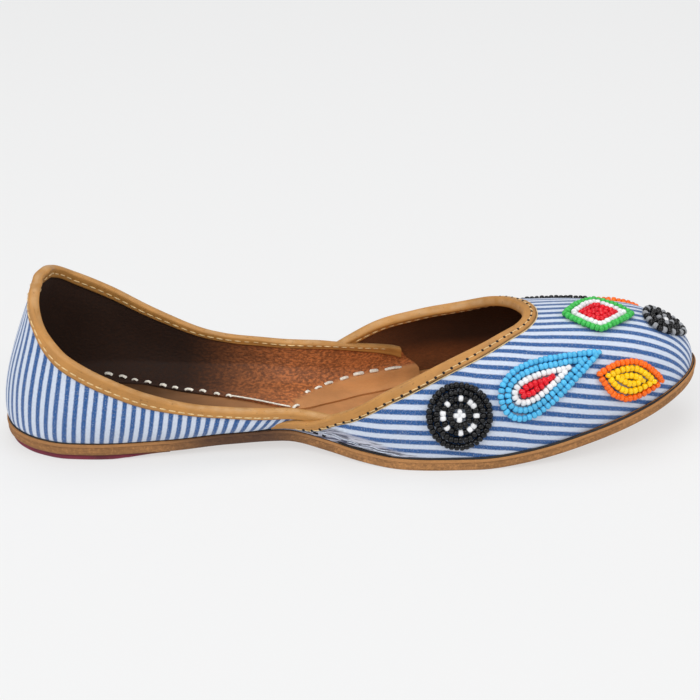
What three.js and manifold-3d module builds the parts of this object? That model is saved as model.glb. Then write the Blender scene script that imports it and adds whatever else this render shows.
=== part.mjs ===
// A Punjabi jutti for the right foot: a flat slip-on with a beaded, striped cloth upper on a
// leather sole. Lengths are in millimetres, +X runs to the toe, -Y is the outer side, +Z is up.
import * as THREE from 'three';
import { mergeVertices } from 'three/addons/utils/BufferGeometryUtils.js';
import Module from 'manifold-3d';

const wasm = await Module();
wasm.setup();

// Driving sizes of the last and of the materials.
const LENGTH = 245;
const BALL_WIDTH = 74;
const INSTEP_RISE = 39;
const HEEL_HEIGHT = 63;
const TOE_SPRING = 17.4;
const ARCH_RISE = 4.2;
const SOLE_THICKNESS = 4.5;
const LIFT_THICKNESS = 2;
const LIFT_LENGTH = 58;
const LIFT_SKIVE = 0.5;
const LIFT_SKIVE_START = 0.88;
const LIFT_INSET = 1.6;
const LIFT_BEVEL = 0.5;
const INSOLE_THICKNESS = 1.8;
const INSOLE_BEVEL = 0.5;
const WALL = 1.8;
const WELT = 0.9;
const TOE_WELT = 1.5;
const BINDING_THICKNESS = 0.6;
const BINDING_MOST = 0.8;
const BEAD_HEIGHT = 2.2;
const BEAD_RIM = 0.7;
const GAP = 0.3;
const WELD = 0.01;
const SAME_POINT = 1e-4;
const LEAST_HALF = 1e-6;
const LAP_FUSE = 0.6;
const LAP_START = 84;
const LAP_FULL = 102;
const LAP_RAISE = 0.4;
const QUARTER_FRONT = 140;
const VAMP_TAIL = 93;
const SECTION_POWER = 2.3;
const LEAN_POWER = 1.2;
const WALL_SWELL = 2.8;
const SWELL_POWER = 0.7;
const LOZENGE_POWER = 1.25;
const HALF_BALL = BALL_WIDTH / 2;
const SEAT = LIFT_THICKNESS + GAP;
const STEP = 1e-3;

// Sole in plan: half width as a share of half the ball width, middle moved across in mm.
const SOLE_PLAN = [
  { at: 0.000, half: 0.000, shift: 0.0 },
  { at: 0.020, half: 0.372, shift: 0.0 },
  { at: 0.049, half: 0.543, shift: 0.0 },
  { at: 0.090, half: 0.650, shift: 0.0 },
  { at: 0.143, half: 0.676, shift: 0.0 },
  { at: 0.225, half: 0.616, shift: -0.4 },
  { at: 0.318, half: 0.512, shift: -1.7 },
  { at: 0.400, half: 0.475, shift: -3.0 },
  { at: 0.457, half: 0.562, shift: -4.1 },
  { at: 0.510, half: 0.720, shift: -4.0 },
  { at: 0.571, half: 0.895, shift: -2.3 },
  { at: 0.629, half: 0.975, shift: -0.3 },
  { at: 0.694, half: 1.000, shift: 0.8 },
  { at: 0.767, half: 0.955, shift: 1.7 },
  { at: 0.841, half: 0.862, shift: 2.6 },
  { at: 0.914, half: 0.690, shift: 3.5 },
  { at: 0.967, half: 0.448, shift: 4.5 },
  { at: 1.000, half: 0.000, shift: 5.4 },
];

// Underside of the sole above the floor: seat over the lift, arch, flat ball, toe spring.
const SOLE_RISE = [
  { at: 0.000, rise: SEAT },
  { at: 0.235, rise: SEAT },
  { at: 0.320, rise: SEAT + 0.55 * (ARCH_RISE - SEAT) },
  { at: 0.400, rise: ARCH_RISE },
  { at: 0.500, rise: 0.2 * ARCH_RISE },
  { at: 0.560, rise: 0 },
  { at: 0.665, rise: 0 },
  { at: 0.735, rise: 0.09 * TOE_SPRING },
  { at: 0.837, rise: 0.38 * TOE_SPRING },
  { at: 0.918, rise: 0.67 * TOE_SPRING },
  { at: 1.000, rise: TOE_SPRING },
];

// Side of the sole from its top down: a thin rand over the cut edge, bevelled at the floor.
const SOLE_EDGE = [
  { down: 0.0, inset: 0.35 },
  { down: 0.4, inset: 0.0 },
  { down: 1.1, inset: 0.0 },
  { down: 1.3, inset: 0.35 },
  { down: 3.9, inset: 0.35 },
  { down: SOLE_THICKNESS, inset: 0.95 },
];

// Insole in plan: how far its edge stands in from the sole's edge.
const INSOLE_INSET = [
  { at: 0.00, inset: 4.2 },
  { at: 0.30, inset: 4.0 },
  { at: 0.38, inset: 5.6 },
  { at: 0.58, inset: 6.2 },
  { at: 0.66, inset: 4.2 },
  { at: 0.80, inset: 4.9 },
  { at: 0.90, inset: 6.0 },
  { at: 1.00, inset: 6.4 },
];

// Collar of the quarter: height as a share of the heel height, lean of the wall outwards in mm.
const COLLAR = [
  { at: 0.000, near: 0.908, far: 0.908, lean: -11.8, leanFar: -11.8 },
  { at: 0.010, near: 0.905, far: 0.925, lean: -9.8, leanFar: -10.9 },
  { at: 0.030, near: 0.835, far: 0.925, lean: -6.2, leanFar: -9.6 },
  { at: 0.060, near: 0.692, far: 0.884, lean: -3.9, leanFar: -4.6 },
  { at: 0.100, near: 0.598, far: 0.796, lean: -0.6, leanFar: -1.2 },
  { at: 0.150, near: 0.503, far: 0.681, lean: 1.8, leanFar: 1.2 },
  { at: 0.210, near: 0.395, far: 0.545, lean: 3.2, leanFar: 2.6 },
  { at: 0.290, near: 0.305, far: 0.419, lean: 4.0, leanFar: 4.2 },
  { at: 0.350, near: 0.280, far: 0.394, lean: 4.2, leanFar: 4.8 },
  { at: 0.400, near: 0.256, far: 0.394, lean: 4.0, leanFar: 5.0 },
  { at: 0.450, near: 0.245, far: 0.378, lean: 3.6, leanFar: 4.8 },
  { at: 0.500, near: 0.231, far: 0.332, lean: 3.3, leanFar: 4.4 },
  { at: 0.580, near: 0.222, far: 0.273, lean: 3.0, leanFar: 4.0 },
];

// Last over the forefoot: crest above the feather edge as a share of the instep rise, swell of
// the wall beyond the feather edge and how far the ridge stands to the inner side, in mm.
const LAST = [
  { at: 0.360, crest: 0.880, swell: 4.6, ridge: 1.0 },
  { at: 0.430, crest: 0.930, swell: 4.2, ridge: 1.0 },
  { at: 0.500, crest: 0.980, swell: 3.0, ridge: 1.0 },
  { at: 0.600, crest: 0.985, swell: 1.6, ridge: 0.9 },
  { at: 0.700, crest: 0.952, swell: 1.1, ridge: 0.8 },
  { at: 0.760, crest: 0.898, swell: 1.0, ridge: 0.6 },
  { at: 0.841, crest: 0.785, swell: 0.9, ridge: 0.4 },
  { at: 0.898, crest: 0.668, swell: 0.8, ridge: 0.2 },
  { at: 0.947, crest: 0.495, swell: 0.6, ridge: 0.0 },
  { at: 0.983, crest: 0.280, swell: 0.3, ridge: 0.0 },
  { at: 1.000, crest: 0.000, swell: 0.0, ridge: 0.0 },
];

// Throat, from its front middle out to each tail: station of the edge and share of the half width.
const THROAT = [
  { out: 0.000, at: 0.7455, near: 0.000, far: 0.000 },
  { out: 0.106, at: 0.7445, near: 0.078, far: 0.078 },
  { out: 0.192, at: 0.7405, near: 0.165, far: 0.165 },
  { out: 0.315, at: 0.7285, near: 0.280, far: 0.330 },
  { out: 0.462, at: 0.6985, near: 0.417, far: 0.575 },
  { out: 0.600, at: 0.6540, near: 0.578, far: 0.740 },
  { out: 0.720, at: 0.6000, near: 0.725, far: 0.806 },
  { out: 0.800, at: 0.5480, near: 0.837, far: 0.838 },
  { out: 0.880, at: 0.4880, near: 0.955, far: 0.932 },
  { out: 0.940, at: 0.4330, near: 0.996, far: 0.987 },
  { out: 1.000, at: VAMP_TAIL / LENGTH, near: 0.9992, far: 0.9992 },
];

// Outer leg of each binding, from the heel to the waist and from the waist to the throat, in mm.
const QUARTER_LEG = [
  { at: 0.00, leg: 4.8 },
  { at: 0.11, leg: 4.8 },
  { at: 0.17, leg: 4.4 },
  { at: 0.22, leg: 3.5 },
  { at: 0.27, leg: 2.7 },
  { at: 0.32, leg: 2.3 },
  { at: 0.47, leg: 2.3 },
  { at: 0.52, leg: 3.0 },
  { at: 0.58, leg: 4.4 },
];
const VAMP_LEG = [
  { at: 0.38, leg: 2.4 },
  { at: 0.46, leg: 3.2 },
  { at: 0.51, leg: 3.8 },
  { at: 0.56, leg: 4.3 },
  { at: 0.61, leg: 4.6 },
  { at: 0.68, leg: 5.2 },
  { at: 0.75, leg: 4.6 },
];

// Bead patches on the vamp: middle along the shoe in mm, turn round the section from its crest
// and on the surface in degrees, and half sizes in mm.
const BEAD_PATCHES = [
  { name: 'beads_rosette_outer', shape: 'disc', x: 157, round: -68, turn: 0, long: 11.5, wide: 11.5 },
  { name: 'beads_drop_outer', shape: 'drop', x: 189, round: -52, turn: 20, long: 19.5, wide: 13 },
  { name: 'beads_leaf_outer', shape: 'leaf', x: 217, round: -65, turn: -20, long: 13, wide: 7 },
  { name: 'beads_lozenge_top', shape: 'lozenge', x: 208, round: -6, turn: 0, long: 13, wide: 11 },
  { name: 'beads_rosette_toe', shape: 'disc', x: 232, round: -4, turn: 0, long: 8, wide: 8 },
  { name: 'beads_rosette_inner', shape: 'disc', x: 165, round: 70, turn: 0, long: 10.5, wide: 10.5 },
  { name: 'beads_drop_inner', shape: 'drop', x: 193, round: 54, turn: -22, long: 17, wide: 11 },
  { name: 'beads_leaf_inner', shape: 'leaf', x: 220, round: 56, turn: 20, long: 12, wide: 6.5 },
];

// Mesh counts along and across each piece.
const SOLE_STATIONS = 38;
const LIFT_STATIONS = 14;
const ACROSS = 3;
const VAMP_COLUMNS = 60;
const VAMP_ROWS = 11;
const QUARTER_COLUMNS = 54;
const QUARTER_ROWS = 7;
const PATCH_RAYS = 20;
const PATCH_RINGS = 2;

const COLOURS = {
  outsole: { color: 0xa87848, roughness: 0.75 },
  heel_lift: { color: 0x5e2030, roughness: 0.7 },
  insole: { color: 0xb08050, roughness: 0.65 },
  upper: { color: 0x86a2cc, roughness: 0.9 },
  quarter_binding: { color: 0xc08e48, roughness: 0.5 },
  vamp_binding: { color: 0xc08e48, roughness: 0.5 },
  beads: { color: 0xc85a3c, roughness: 0.3 },
};

// Smooth curve through one named column of a table, without overshoot between its rows.
function column(rows, key, place, warp = (t) => t) {
  const xs = rows.map((row) => warp(row[place]));
  const ys = rows.map((row) => row[key]);
  const steps = xs.slice(1).map((x, i) => (ys[i + 1] - ys[i]) / (x - xs[i]));
  const slopes = xs.map((x, i) => {
    if (i === 0) return steps[0];
    if (i === xs.length - 1) return steps[i - 1];
    if (steps[i - 1] * steps[i] <= 0) return 0;
    return (2 * steps[i - 1] * steps[i]) / (steps[i - 1] + steps[i]);
  });
  return (t) => {
    const at = THREE.MathUtils.clamp(warp(t), xs[0], xs[xs.length - 1]);
    let i = 0;
    while (i < xs.length - 2 && at > xs[i + 1]) i += 1;
    const width = xs[i + 1] - xs[i];
    const s = (at - xs[i]) / width;
    const rise = ys[i + 1] - ys[i];
    const bend = slopes[i] + slopes[i + 1];
    const a = bend * width - 2 * rise;
    const b = 3 * rise - (slopes[i] + bend) * width;
    return ys[i] + s * (slopes[i] * width + s * (b + s * a));
  };
}

const sweep = (share) => Math.acos(1 - 2 * THREE.MathUtils.clamp(share, 0, 1));
const share = (angle) => (1 - Math.cos(angle)) / 2;
const smooth = (from, to, t) => THREE.MathUtils.smoothstep(t, from, to);

const halfShare = column(SOLE_PLAN, 'half', 'at', sweep);
const shiftAt = column(SOLE_PLAN, 'shift', 'at');
const riseAt = column(SOLE_RISE, 'rise', 'at');
const insoleInset = column(INSOLE_INSET, 'inset', 'at');
const collarNear = column(COLLAR, 'near', 'at', sweep);
const collarFar = column(COLLAR, 'far', 'at', sweep);
const leanNear = column(COLLAR, 'lean', 'at', sweep);
const leanFar = column(COLLAR, 'leanFar', 'at', sweep);
const crestAt = column(LAST, 'crest', 'at', sweep);
const swellAt = column(LAST, 'swell', 'at');
const ridgeAt = column(LAST, 'ridge', 'at');
const throatRows = [
  ...THROAT.slice(1).reverse().map((row) => ({ out: -row.out, at: row.at, across: -row.near })),
  ...THROAT.map((row) => ({ out: row.out, at: row.at, across: row.far })),
];
const throatAt = column(throatRows, 'at', 'out');
const throatAcross = column(throatRows, 'across', 'out');
const quarterLeg = column(QUARTER_LEG, 'leg', 'at');
const vampLeg = column(VAMP_LEG, 'leg', 'at');

const soleBottom = (x) => riseAt(x / LENGTH);
const soleTop = (x) => soleBottom(x) + SOLE_THICKNESS;
const featherZ = (x) => soleTop(x) + GAP;

// Point of the sole's edge: angle 0 at the back of the heel, PI at the toe, side -1 or +1.
function solePlan(angle, side) {
  const at = share(angle);
  return new THREE.Vector2(LENGTH * at, shiftAt(at) + side * HALF_BALL * halfShare(at));
}

// Outward direction of the sole's edge in plan.
function planNormal(angle, side) {
  const past = angle + STEP > Math.PI;
  const under = angle < STEP;
  const ahead = past ? solePlan(2 * Math.PI - angle - STEP, -side) : solePlan(angle + STEP, side);
  const behind = under ? solePlan(STEP - angle, -side) : solePlan(angle - STEP, side);
  const along = ahead.sub(behind).normalize();
  return new THREE.Vector2(along.y, -along.x).multiplyScalar(-side);
}

function insetPlan(angle, side, inset) {
  return solePlan(angle, side).addScaledVector(planNormal(angle, side), -inset);
}

// Length and half width of the feather edge, a welt's width inside the sole.
const FEATHER_LENGTH = LENGTH - WELT - TOE_WELT;
const featherShare = (x) => (x - WELT) / FEATHER_LENGTH;
const toeDraw = (at) => 1 - (TOE_WELT / HALF_BALL) * smooth(0.7, 0.9, at);
const featherHalf = (x) => (HALF_BALL - WELT) * halfShare(featherShare(x)) * toeDraw(featherShare(x));
const featherMiddle = (x) => shiftAt(featherShare(x));

// Surface with its near points merged, without faces that close to a line or lie on each other.
function welded(geometry, reach) {
  const merged = mergeVertices(geometry, reach);
  const index = merged.getIndex().array;
  const faces = new Map();
  for (let i = 0; i < index.length; i += 3) {
    const face = [index[i], index[i + 1], index[i + 2]];
    const key = [...face].sort((a, b) => a - b).join(' ');
    if (new Set(face).size < 3) continue;
    if (faces.has(key)) faces.delete(key);
    else faces.set(key, face);
  }
  merged.setIndex([...faces.values()].flat());
  return merged;
}

// Closed surface from points and faces, merged where sections close to a line at either end.
function closedGeometry(points, faces) {
  const geometry = new THREE.BufferGeometry();
  const flat = points.flatMap((p) => [p.x, p.y, p.z]);
  geometry.setAttribute('position', new THREE.Float32BufferAttribute(flat, 3));
  geometry.setIndex(faces.flat());
  return welded(geometry, SAME_POINT);
}

function quad(a, b, c, d) {
  return [[a, b, c], [a, c, d]];
}

// Solid through a row of closed sections, capped with a fan wherever an end section is open.
function loft(sections, capEnd = false) {
  const size = sections[0].length;
  const points = sections.flat();
  const faces = [];
  for (let i = 0; i + 1 < sections.length; i += 1) {
    for (let k = 0; k < size; k += 1) {
      const next = (k + 1) % size;
      faces.push(...quad(i * size + k, i * size + next, (i + 1) * size + next, (i + 1) * size + k));
    }
  }
  if (capEnd) {
    const last = (sections.length - 1) * size;
    const middle = points.length;
    const centre = new THREE.Vector3();
    sections[sections.length - 1].forEach((p) => centre.addScaledVector(p, 1 / size));
    points.push(centre);
    for (let k = 0; k < size; k += 1) faces.push([last + k, last + (k + 1) % size, middle]);
  }
  return closedGeometry(points, faces);
}

// Solid between an outer and an inner grid of points, with end faces unless its columns close up.
function sheet(outer, inner, ends = true) {
  const columns = outer.length;
  const rows = outer[0].length;
  const count = columns * rows;
  const points = [...outer.flat(), ...inner.flat()];
  const faces = [];
  const out = (i, j) => i * rows + j;
  const back = (i, j) => count + i * rows + j;
  for (let i = 0; i + 1 < columns; i += 1) {
    for (let j = 0; j + 1 < rows; j += 1) {
      faces.push(...quad(out(i, j), out(i + 1, j), out(i + 1, j + 1), out(i, j + 1)));
      faces.push(...quad(back(i, j), back(i, j + 1), back(i + 1, j + 1), back(i + 1, j)));
    }
    faces.push(...quad(out(i, 0), back(i, 0), back(i + 1, 0), out(i + 1, 0)));
    faces.push(...quad(out(i, rows - 1), out(i + 1, rows - 1), back(i + 1, rows - 1), back(i, rows - 1)));
  }
  const end = columns - 1;
  for (let j = 0; ends && j + 1 < rows; j += 1) {
    faces.push(...quad(out(0, j), out(0, j + 1), back(0, j + 1), back(0, j)));
    faces.push(...quad(out(end, j), back(end, j), back(end, j + 1), out(end, j + 1)));
  }
  return closedGeometry(points, faces);
}

function toManifold(geometry) {
  const vertProperties = new Float32Array(geometry.getAttribute('position').array);
  const triVerts = new Uint32Array(geometry.getIndex().array);
  return new wasm.Manifold(new wasm.Mesh({ numProp: 3, vertProperties, triVerts }));
}

// Largest body of a boolean result, as geometry.
function fromManifold(solid) {
  const bodies = solid.decompose().sort((a, b) => b.volume() - a.volume());
  const mesh = bodies[0].getMesh();
  const geometry = new THREE.BufferGeometry();
  geometry.setAttribute('position', new THREE.BufferAttribute(mesh.vertProperties, 3));
  geometry.setIndex(new THREE.BufferAttribute(mesh.triVerts, 1));
  return welded(geometry, WELD);
}

// Section of a plate that follows the sole: its edge rows down one side, across, up and back.
function plateSection(angle, edge, topZ) {
  const section = [];
  const place = (side, row) => {
    const p = insetPlan(angle, side, row.inset);
    return new THREE.Vector3(p.x, p.y, topZ(p.x) - row.down);
  };
  const near = edge.map((row) => place(-1, row));
  const far = edge.map((row) => place(1, row));
  section.push(...near);
  const last = edge.length - 1;
  for (let k = 1; k < ACROSS; k += 1) section.push(near[last].clone().lerp(far[last], k / ACROSS));
  section.push(...far.slice().reverse());
  for (let k = 1; k < ACROSS; k += 1) section.push(far[0].clone().lerp(near[0], k / ACROSS));
  return section;
}

function plateAngles() {
  return Array.from({ length: SOLE_STATIONS + 1 }, (_, i) => (Math.PI * i) / SOLE_STATIONS);
}

function makeOutsole() {
  return loft(plateAngles().map((angle) => plateSection(angle, SOLE_EDGE, soleTop)));
}

function makeInsole() {
  const top = (x) => soleTop(x) + GAP + INSOLE_THICKNESS;
  return loft(plateAngles().map((angle) => {
    const inset = insoleInset(share(angle));
    const edge = [
      { down: 0, inset: inset + INSOLE_BEVEL },
      { down: INSOLE_BEVEL, inset },
      { down: INSOLE_THICKNESS, inset },
    ];
    return plateSection(angle, edge, top);
  }));
}

function makeHeelLift() {
  const sections = [];
  for (let i = 0; i <= LIFT_STATIONS; i += 1) {
    const way = i / LIFT_STATIONS;
    const angle = sweep(LIFT_LENGTH / LENGTH) * way;
    const skive = LIFT_SKIVE * smooth(LIFT_SKIVE_START, 1, way);
    const section = [];
    for (const side of [-1, 1]) {
      const top = insetPlan(angle, side, LIFT_INSET);
      const foot = insetPlan(angle, side, LIFT_INSET + LIFT_BEVEL);
      const pair = [
        new THREE.Vector3(top.x, top.y, LIFT_THICKNESS),
        new THREE.Vector3(top.x, top.y, skive + LIFT_BEVEL),
        new THREE.Vector3(foot.x, foot.y, skive),
      ];
      section.push(...(side < 0 ? pair : pair.reverse()));
    }
    sections.push(section);
  }
  return loft(sections, true);
}

// Outer face of the last over the forefoot. The turn is 0 on the crest, PI / 2 at either feather edge.
function lastPoint(x, turn) {
  const across = Math.sign(turn) * Math.abs(Math.sin(turn)) ** (2 / SECTION_POWER);
  const height = Math.abs(Math.cos(turn)) ** (2 / SECTION_POWER);
  const at = featherShare(x);
  const swell = swellAt(at) * 4 * height * (1 - height);
  const ridge = ridgeAt(at) * height ** 2;
  const y = featherMiddle(x) + across * featherHalf(x) + Math.sign(turn) * swell + ridge;
  return new THREE.Vector3(x, y, featherZ(x) + INSTEP_RISE * crestAt(at) * height);
}

const turnAcross = (across) => {
  const held = THREE.MathUtils.clamp(Math.abs(across), 0, 1);
  return Math.sign(across) * Math.asin(held ** (SECTION_POWER / 2));
};

const turnHeight = (height) => Math.acos(THREE.MathUtils.clamp(height, 0, 1) ** (SECTION_POWER / 2));

function lastNormal(x, turn) {
  const along = lastPoint(x + STEP, turn).sub(lastPoint(x - STEP, turn));
  const round = lastPoint(x, turn + STEP).sub(lastPoint(x, turn - STEP));
  return along.cross(round).normalize();
}

// Vamp: out runs from -1 at the outer tail through 0 at the toe to +1, up from feather edge to throat.
const tailSweep = sweep(featherShare(VAMP_TAIL));

function vampPlace(out, up) {
  const angle = Math.PI - Math.abs(out) * (Math.PI - tailSweep);
  const footX = WELT + FEATHER_LENGTH * share(angle);
  const footY = Math.sign(out) * featherHalf(footX);
  const edgeX = LENGTH * throatAt(out);
  const edgeAcross = throatAcross(out);
  const edgeY = edgeAcross * featherHalf(edgeX);
  const full = Math.acos(Math.abs(edgeAcross) ** (SECTION_POWER / 2));
  const reach = (s) => 1 - Math.cos(Math.min(full * s, Math.PI / 2)) ** (2 / SECTION_POWER);
  const moved = reach(up) / reach(1);
  const x = footX + (edgeX - footX) * moved;
  const half = Math.max(featherHalf(x), LEAST_HALF);
  return { x, turn: turnAcross((footY + (edgeY - footY) * moved) / half) };
}

function vampFace(out, up) {
  const place = vampPlace(out, up);
  return lastPoint(place.x, place.turn);
}

// Quarter: round runs from -1 at the outer front end through 0 at the heel to +1.
const frontSweep = sweep(featherShare(QUARTER_FRONT));

function quarterOwn(round, up) {
  const side = Math.sign(round) || 1;
  const angle = Math.abs(round) * frontSweep;
  const at = share(angle);
  const x = WELT + FEATHER_LENGTH * at;
  const foot = new THREE.Vector2(x, featherMiddle(x) + side * featherHalf(x));
  const out = planNormal(angle, side);
  const lean = side < 0 ? leanNear(at) : leanFar(at);
  const swell = WALL_SWELL * Math.sin(Math.PI * Math.min(up, 1) ** SWELL_POWER);
  foot.addScaledVector(out, lean * up ** LEAN_POWER + swell);
  const top = HEEL_HEIGHT * (side < 0 ? collarNear(at) : collarFar(at));
  const low = featherZ(x);
  return new THREE.Vector3(foot.x, foot.y, low + (top - low) * up);
}

// In the lap the quarter follows the inside of the vamp, held a little into its wall.
function quarterFace(round, up) {
  const own = quarterOwn(round, up);
  const footX = WELT + FEATHER_LENGTH * share(Math.abs(round) * frontSweep);
  const weight = smooth(LAP_START, LAP_FULL, footX);
  if (weight === 0) return own;
  const low = featherZ(footX);
  const tall = INSTEP_RISE * crestAt(featherShare(footX));
  const turn = Math.sign(round) * turnHeight((own.z - low) / tall);
  const lap = lastPoint(footX, turn).addScaledVector(lastNormal(footX, turn), LAP_FUSE - WALL);
  lap.z = own.z + LAP_RAISE;
  return own.lerp(lap, weight);
}

// Outward normal of a wall, level along its foot so that the foot stays on the sole.
function wallNormal(face, u, v) {
  const held = Math.max(v, 20 * STEP);
  const along = face(u + STEP, held).sub(face(u - STEP, held));
  const rise = face(u, held + STEP).sub(face(u, held - STEP));
  const normal = along.cross(rise).normalize();
  if (v <= 0) normal.setZ(0).normalize();
  return normal;
}

// Point of a wall: offset from its outer face, lifted past its upper edge along the wall.
function wallPoint(wall, u, v, offset, lift = 0) {
  const point = wall.face(u, v).addScaledVector(wallNormal(wall.face, u, v), wall.turn * offset);
  if (lift === 0) return point;
  const rise = wall.face(u, v).sub(wall.face(u, v - STEP)).normalize();
  return point.addScaledVector(rise, lift);
}

const VAMP = { face: vampFace, turn: 1, leg: vampLeg, columns: VAMP_COLUMNS, rows: VAMP_ROWS };
const QUARTER = {
  face: quarterFace, turn: -1, leg: quarterLeg, columns: QUARTER_COLUMNS, rows: QUARTER_ROWS,
};

function wallGrid(wall, offset, lift = 0) {
  const grid = [];
  for (let i = 0; i <= wall.columns; i += 1) {
    const u = -1 + (2 * i) / wall.columns;
    const line = [];
    for (let j = 0; j <= wall.rows; j += 1) {
      const v = j / wall.rows;
      line.push(wallPoint(wall, u, v, offset, j === wall.rows ? lift : 0));
    }
    grid.push(line);
  }
  return wall.turn > 0 ? grid : grid.reverse();
}

function makeWall(wall, spare = 0) {
  return sheet(wallGrid(wall, spare, spare), wallGrid(wall, -WALL - spare, spare));
}

// Strip folded over a wall's upper edge: out is +1 on its outer leg, 0 on the fold, -1 inside.
const FOLD = [
  { down: 1.00, out: 1, lift: 0, crown: 0.00, puff: 0.0 },
  { down: 0.50, out: 1, lift: 0, crown: 0.00, puff: 0.2 },
  { down: 0.00, out: 1, lift: 1, crown: 0.35, puff: 0.0 },
  { down: 0.00, out: 0, lift: 1, crown: 1.00, puff: 0.0 },
  { down: 0.00, out: -1, lift: 1, crown: 0.35, puff: 0.0 },
  { down: 0.40, out: -1, lift: 0, crown: 0.00, puff: 0.2 },
  { down: 0.80, out: -1, lift: 0, crown: 0.00, puff: 0.0 },
];

function foldGrid(wall, skin, spare) {
  const grid = [];
  for (let i = 0; i <= wall.columns; i += 1) {
    const u = -1 + (2 * i) / wall.columns;
    const edge = wall.face(u, 1);
    const pace = edge.distanceTo(wall.face(u, 1 - STEP)) / STEP;
    const most = BINDING_MOST * edge.distanceTo(wall.face(u, 0));
    const width = Math.min(wall.leg(edge.x / LENGTH), most) + spare;
    grid.push(FOLD.map((row) => {
      const v = 1 - (row.down * width) / pace;
      const proud = GAP + skin + (skin > 0 ? row.puff : 0);
      const offset = row.out * (WALL / 2 + proud) - WALL / 2;
      return wallPoint(wall, u, v, offset, row.lift * GAP + row.crown * skin);
    }));
  }
  return wall.turn > 0 ? grid : grid.reverse();
}

function makeFold(wall, spare = 0) {
  return sheet(foldGrid(wall, BINDING_THICKNESS + spare, spare), foldGrid(wall, -spare, spare));
}

// Outline of a bead patch as a share of its half sizes, by angle round its middle.
const PATCH_OUTLINES = {
  disc: (a) => [Math.cos(a), Math.sin(a)],
  leaf: (a) => [Math.cos(a), Math.sin(a) * (1 - 0.45 * Math.cos(a) ** 2)],
  drop: (a) => [Math.cos(a), Math.sin(a) * (0.62 - 0.38 * Math.cos(a))],
  lozenge: (a) => {
    const sum = Math.abs(Math.cos(a)) ** LOZENGE_POWER + Math.abs(Math.sin(a)) ** LOZENGE_POWER;
    const size = sum ** (1 / LOZENGE_POWER);
    return [Math.cos(a) / size, Math.sin(a) / size];
  },
};

// Patch of bead work that lies on the vamp.
function makePatch(patch) {
  const round = THREE.MathUtils.degToRad(patch.round);
  const turned = THREE.MathUtils.degToRad(patch.turn);
  const girth = lastPoint(patch.x, round + STEP).distanceTo(lastPoint(patch.x, round - STEP)) / (2 * STEP);
  const outline = PATCH_OUTLINES[patch.shape];
  const place = (ring, ray, height) => {
    const [cx, cy] = outline((2 * Math.PI * ray) / PATCH_RAYS);
    const u = (ring / PATCH_RINGS) * patch.long * cx;
    const w = (ring / PATCH_RINGS) * patch.wide * cy;
    const x = patch.x + u * Math.cos(turned) - w * Math.sin(turned);
    const turn = round + (u * Math.sin(turned) + w * Math.cos(turned)) / girth;
    return lastPoint(x, turn).addScaledVector(lastNormal(x, turn), height);
  };
  const grid = (rimHeight, height) => {
    const lines = [];
    for (let ray = PATCH_RAYS; ray >= 0; ray -= 1) {
      const line = [];
      for (let ring = 0; ring <= PATCH_RINGS; ring += 1) {
        line.push(place(ring, ray % PATCH_RAYS, ring === PATCH_RINGS ? rimHeight : height));
      }
      lines.push(line);
    }
    return lines;
  };
  return sheet(grid(GAP + BEAD_RIM * BEAD_HEIGHT, GAP + BEAD_HEIGHT), grid(GAP, GAP), false);
}

const solids = {};
solids.outsole = makeOutsole();
solids.heel_lift = makeHeelLift();
solids.insole = makeInsole();

const vampWall = toManifold(makeWall(VAMP));
const quarterWall = toManifold(makeWall(QUARTER));
solids.upper = fromManifold(quarterWall.add(vampWall));

const vampRoom = toManifold(makeWall(VAMP, GAP));
const quarterRoom = toManifold(makeWall(QUARTER, GAP));
const vampFoldRoom = toManifold(makeFold(VAMP, GAP));
solids.vamp_binding = fromManifold(toManifold(makeFold(VAMP)).subtract(quarterRoom));
solids.quarter_binding = fromManifold(toManifold(makeFold(QUARTER)).subtract(vampRoom.add(vampFoldRoom)));
for (const patch of BEAD_PATCHES) solids[patch.name] = makePatch(patch);

// Stand the shoe on the floor with the middle of its plan at the origin.
const box = new THREE.Box3();
for (const geometry of Object.values(solids)) {
  geometry.computeBoundingBox();
  box.union(geometry.boundingBox);
}
const middle = box.getCenter(new THREE.Vector3());

const group = new THREE.Group();
group.name = 'punjabi_jutti';
for (const [name, geometry] of Object.entries(solids)) {
  geometry.translate(-middle.x, -middle.y, -box.min.z);
  geometry.computeVertexNormals();
  const finish = COLOURS[name] ?? COLOURS.beads;
  const mesh = new THREE.Mesh(geometry, new THREE.MeshStandardMaterial({ ...finish, metalness: 0 }));
  mesh.name = name;
  group.add(mesh);
}

export default group;
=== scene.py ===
import math

import bmesh
import bpy
import numpy as np
from bpy.props import FloatProperty, FloatVectorProperty, PointerProperty
from mathutils import Matrix, Vector


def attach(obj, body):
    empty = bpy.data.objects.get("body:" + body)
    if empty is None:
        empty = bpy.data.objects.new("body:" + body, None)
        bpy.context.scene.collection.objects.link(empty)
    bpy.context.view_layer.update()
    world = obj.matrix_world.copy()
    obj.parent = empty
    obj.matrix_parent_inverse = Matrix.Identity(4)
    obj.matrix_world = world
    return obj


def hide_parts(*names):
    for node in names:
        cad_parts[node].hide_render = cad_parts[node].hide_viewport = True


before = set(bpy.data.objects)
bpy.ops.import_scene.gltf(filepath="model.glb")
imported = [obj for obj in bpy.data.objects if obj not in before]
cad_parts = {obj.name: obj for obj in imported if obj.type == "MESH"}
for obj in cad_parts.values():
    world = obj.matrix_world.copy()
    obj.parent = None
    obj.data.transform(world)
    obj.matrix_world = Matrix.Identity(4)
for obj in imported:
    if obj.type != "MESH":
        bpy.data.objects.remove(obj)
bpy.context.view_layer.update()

bl_info = {
    "name": "Punjabi jutti",
    "version": (1, 0, 0),
    "blender": (4, 5, 0),
    "location": "View3D > Sidebar > Jutti",
    "description": "Dresses the frame of a right-foot jutti in striped cloth, leather, thread and beads",
    "category": "Add Mesh",
}

BODY = "root"

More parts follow.
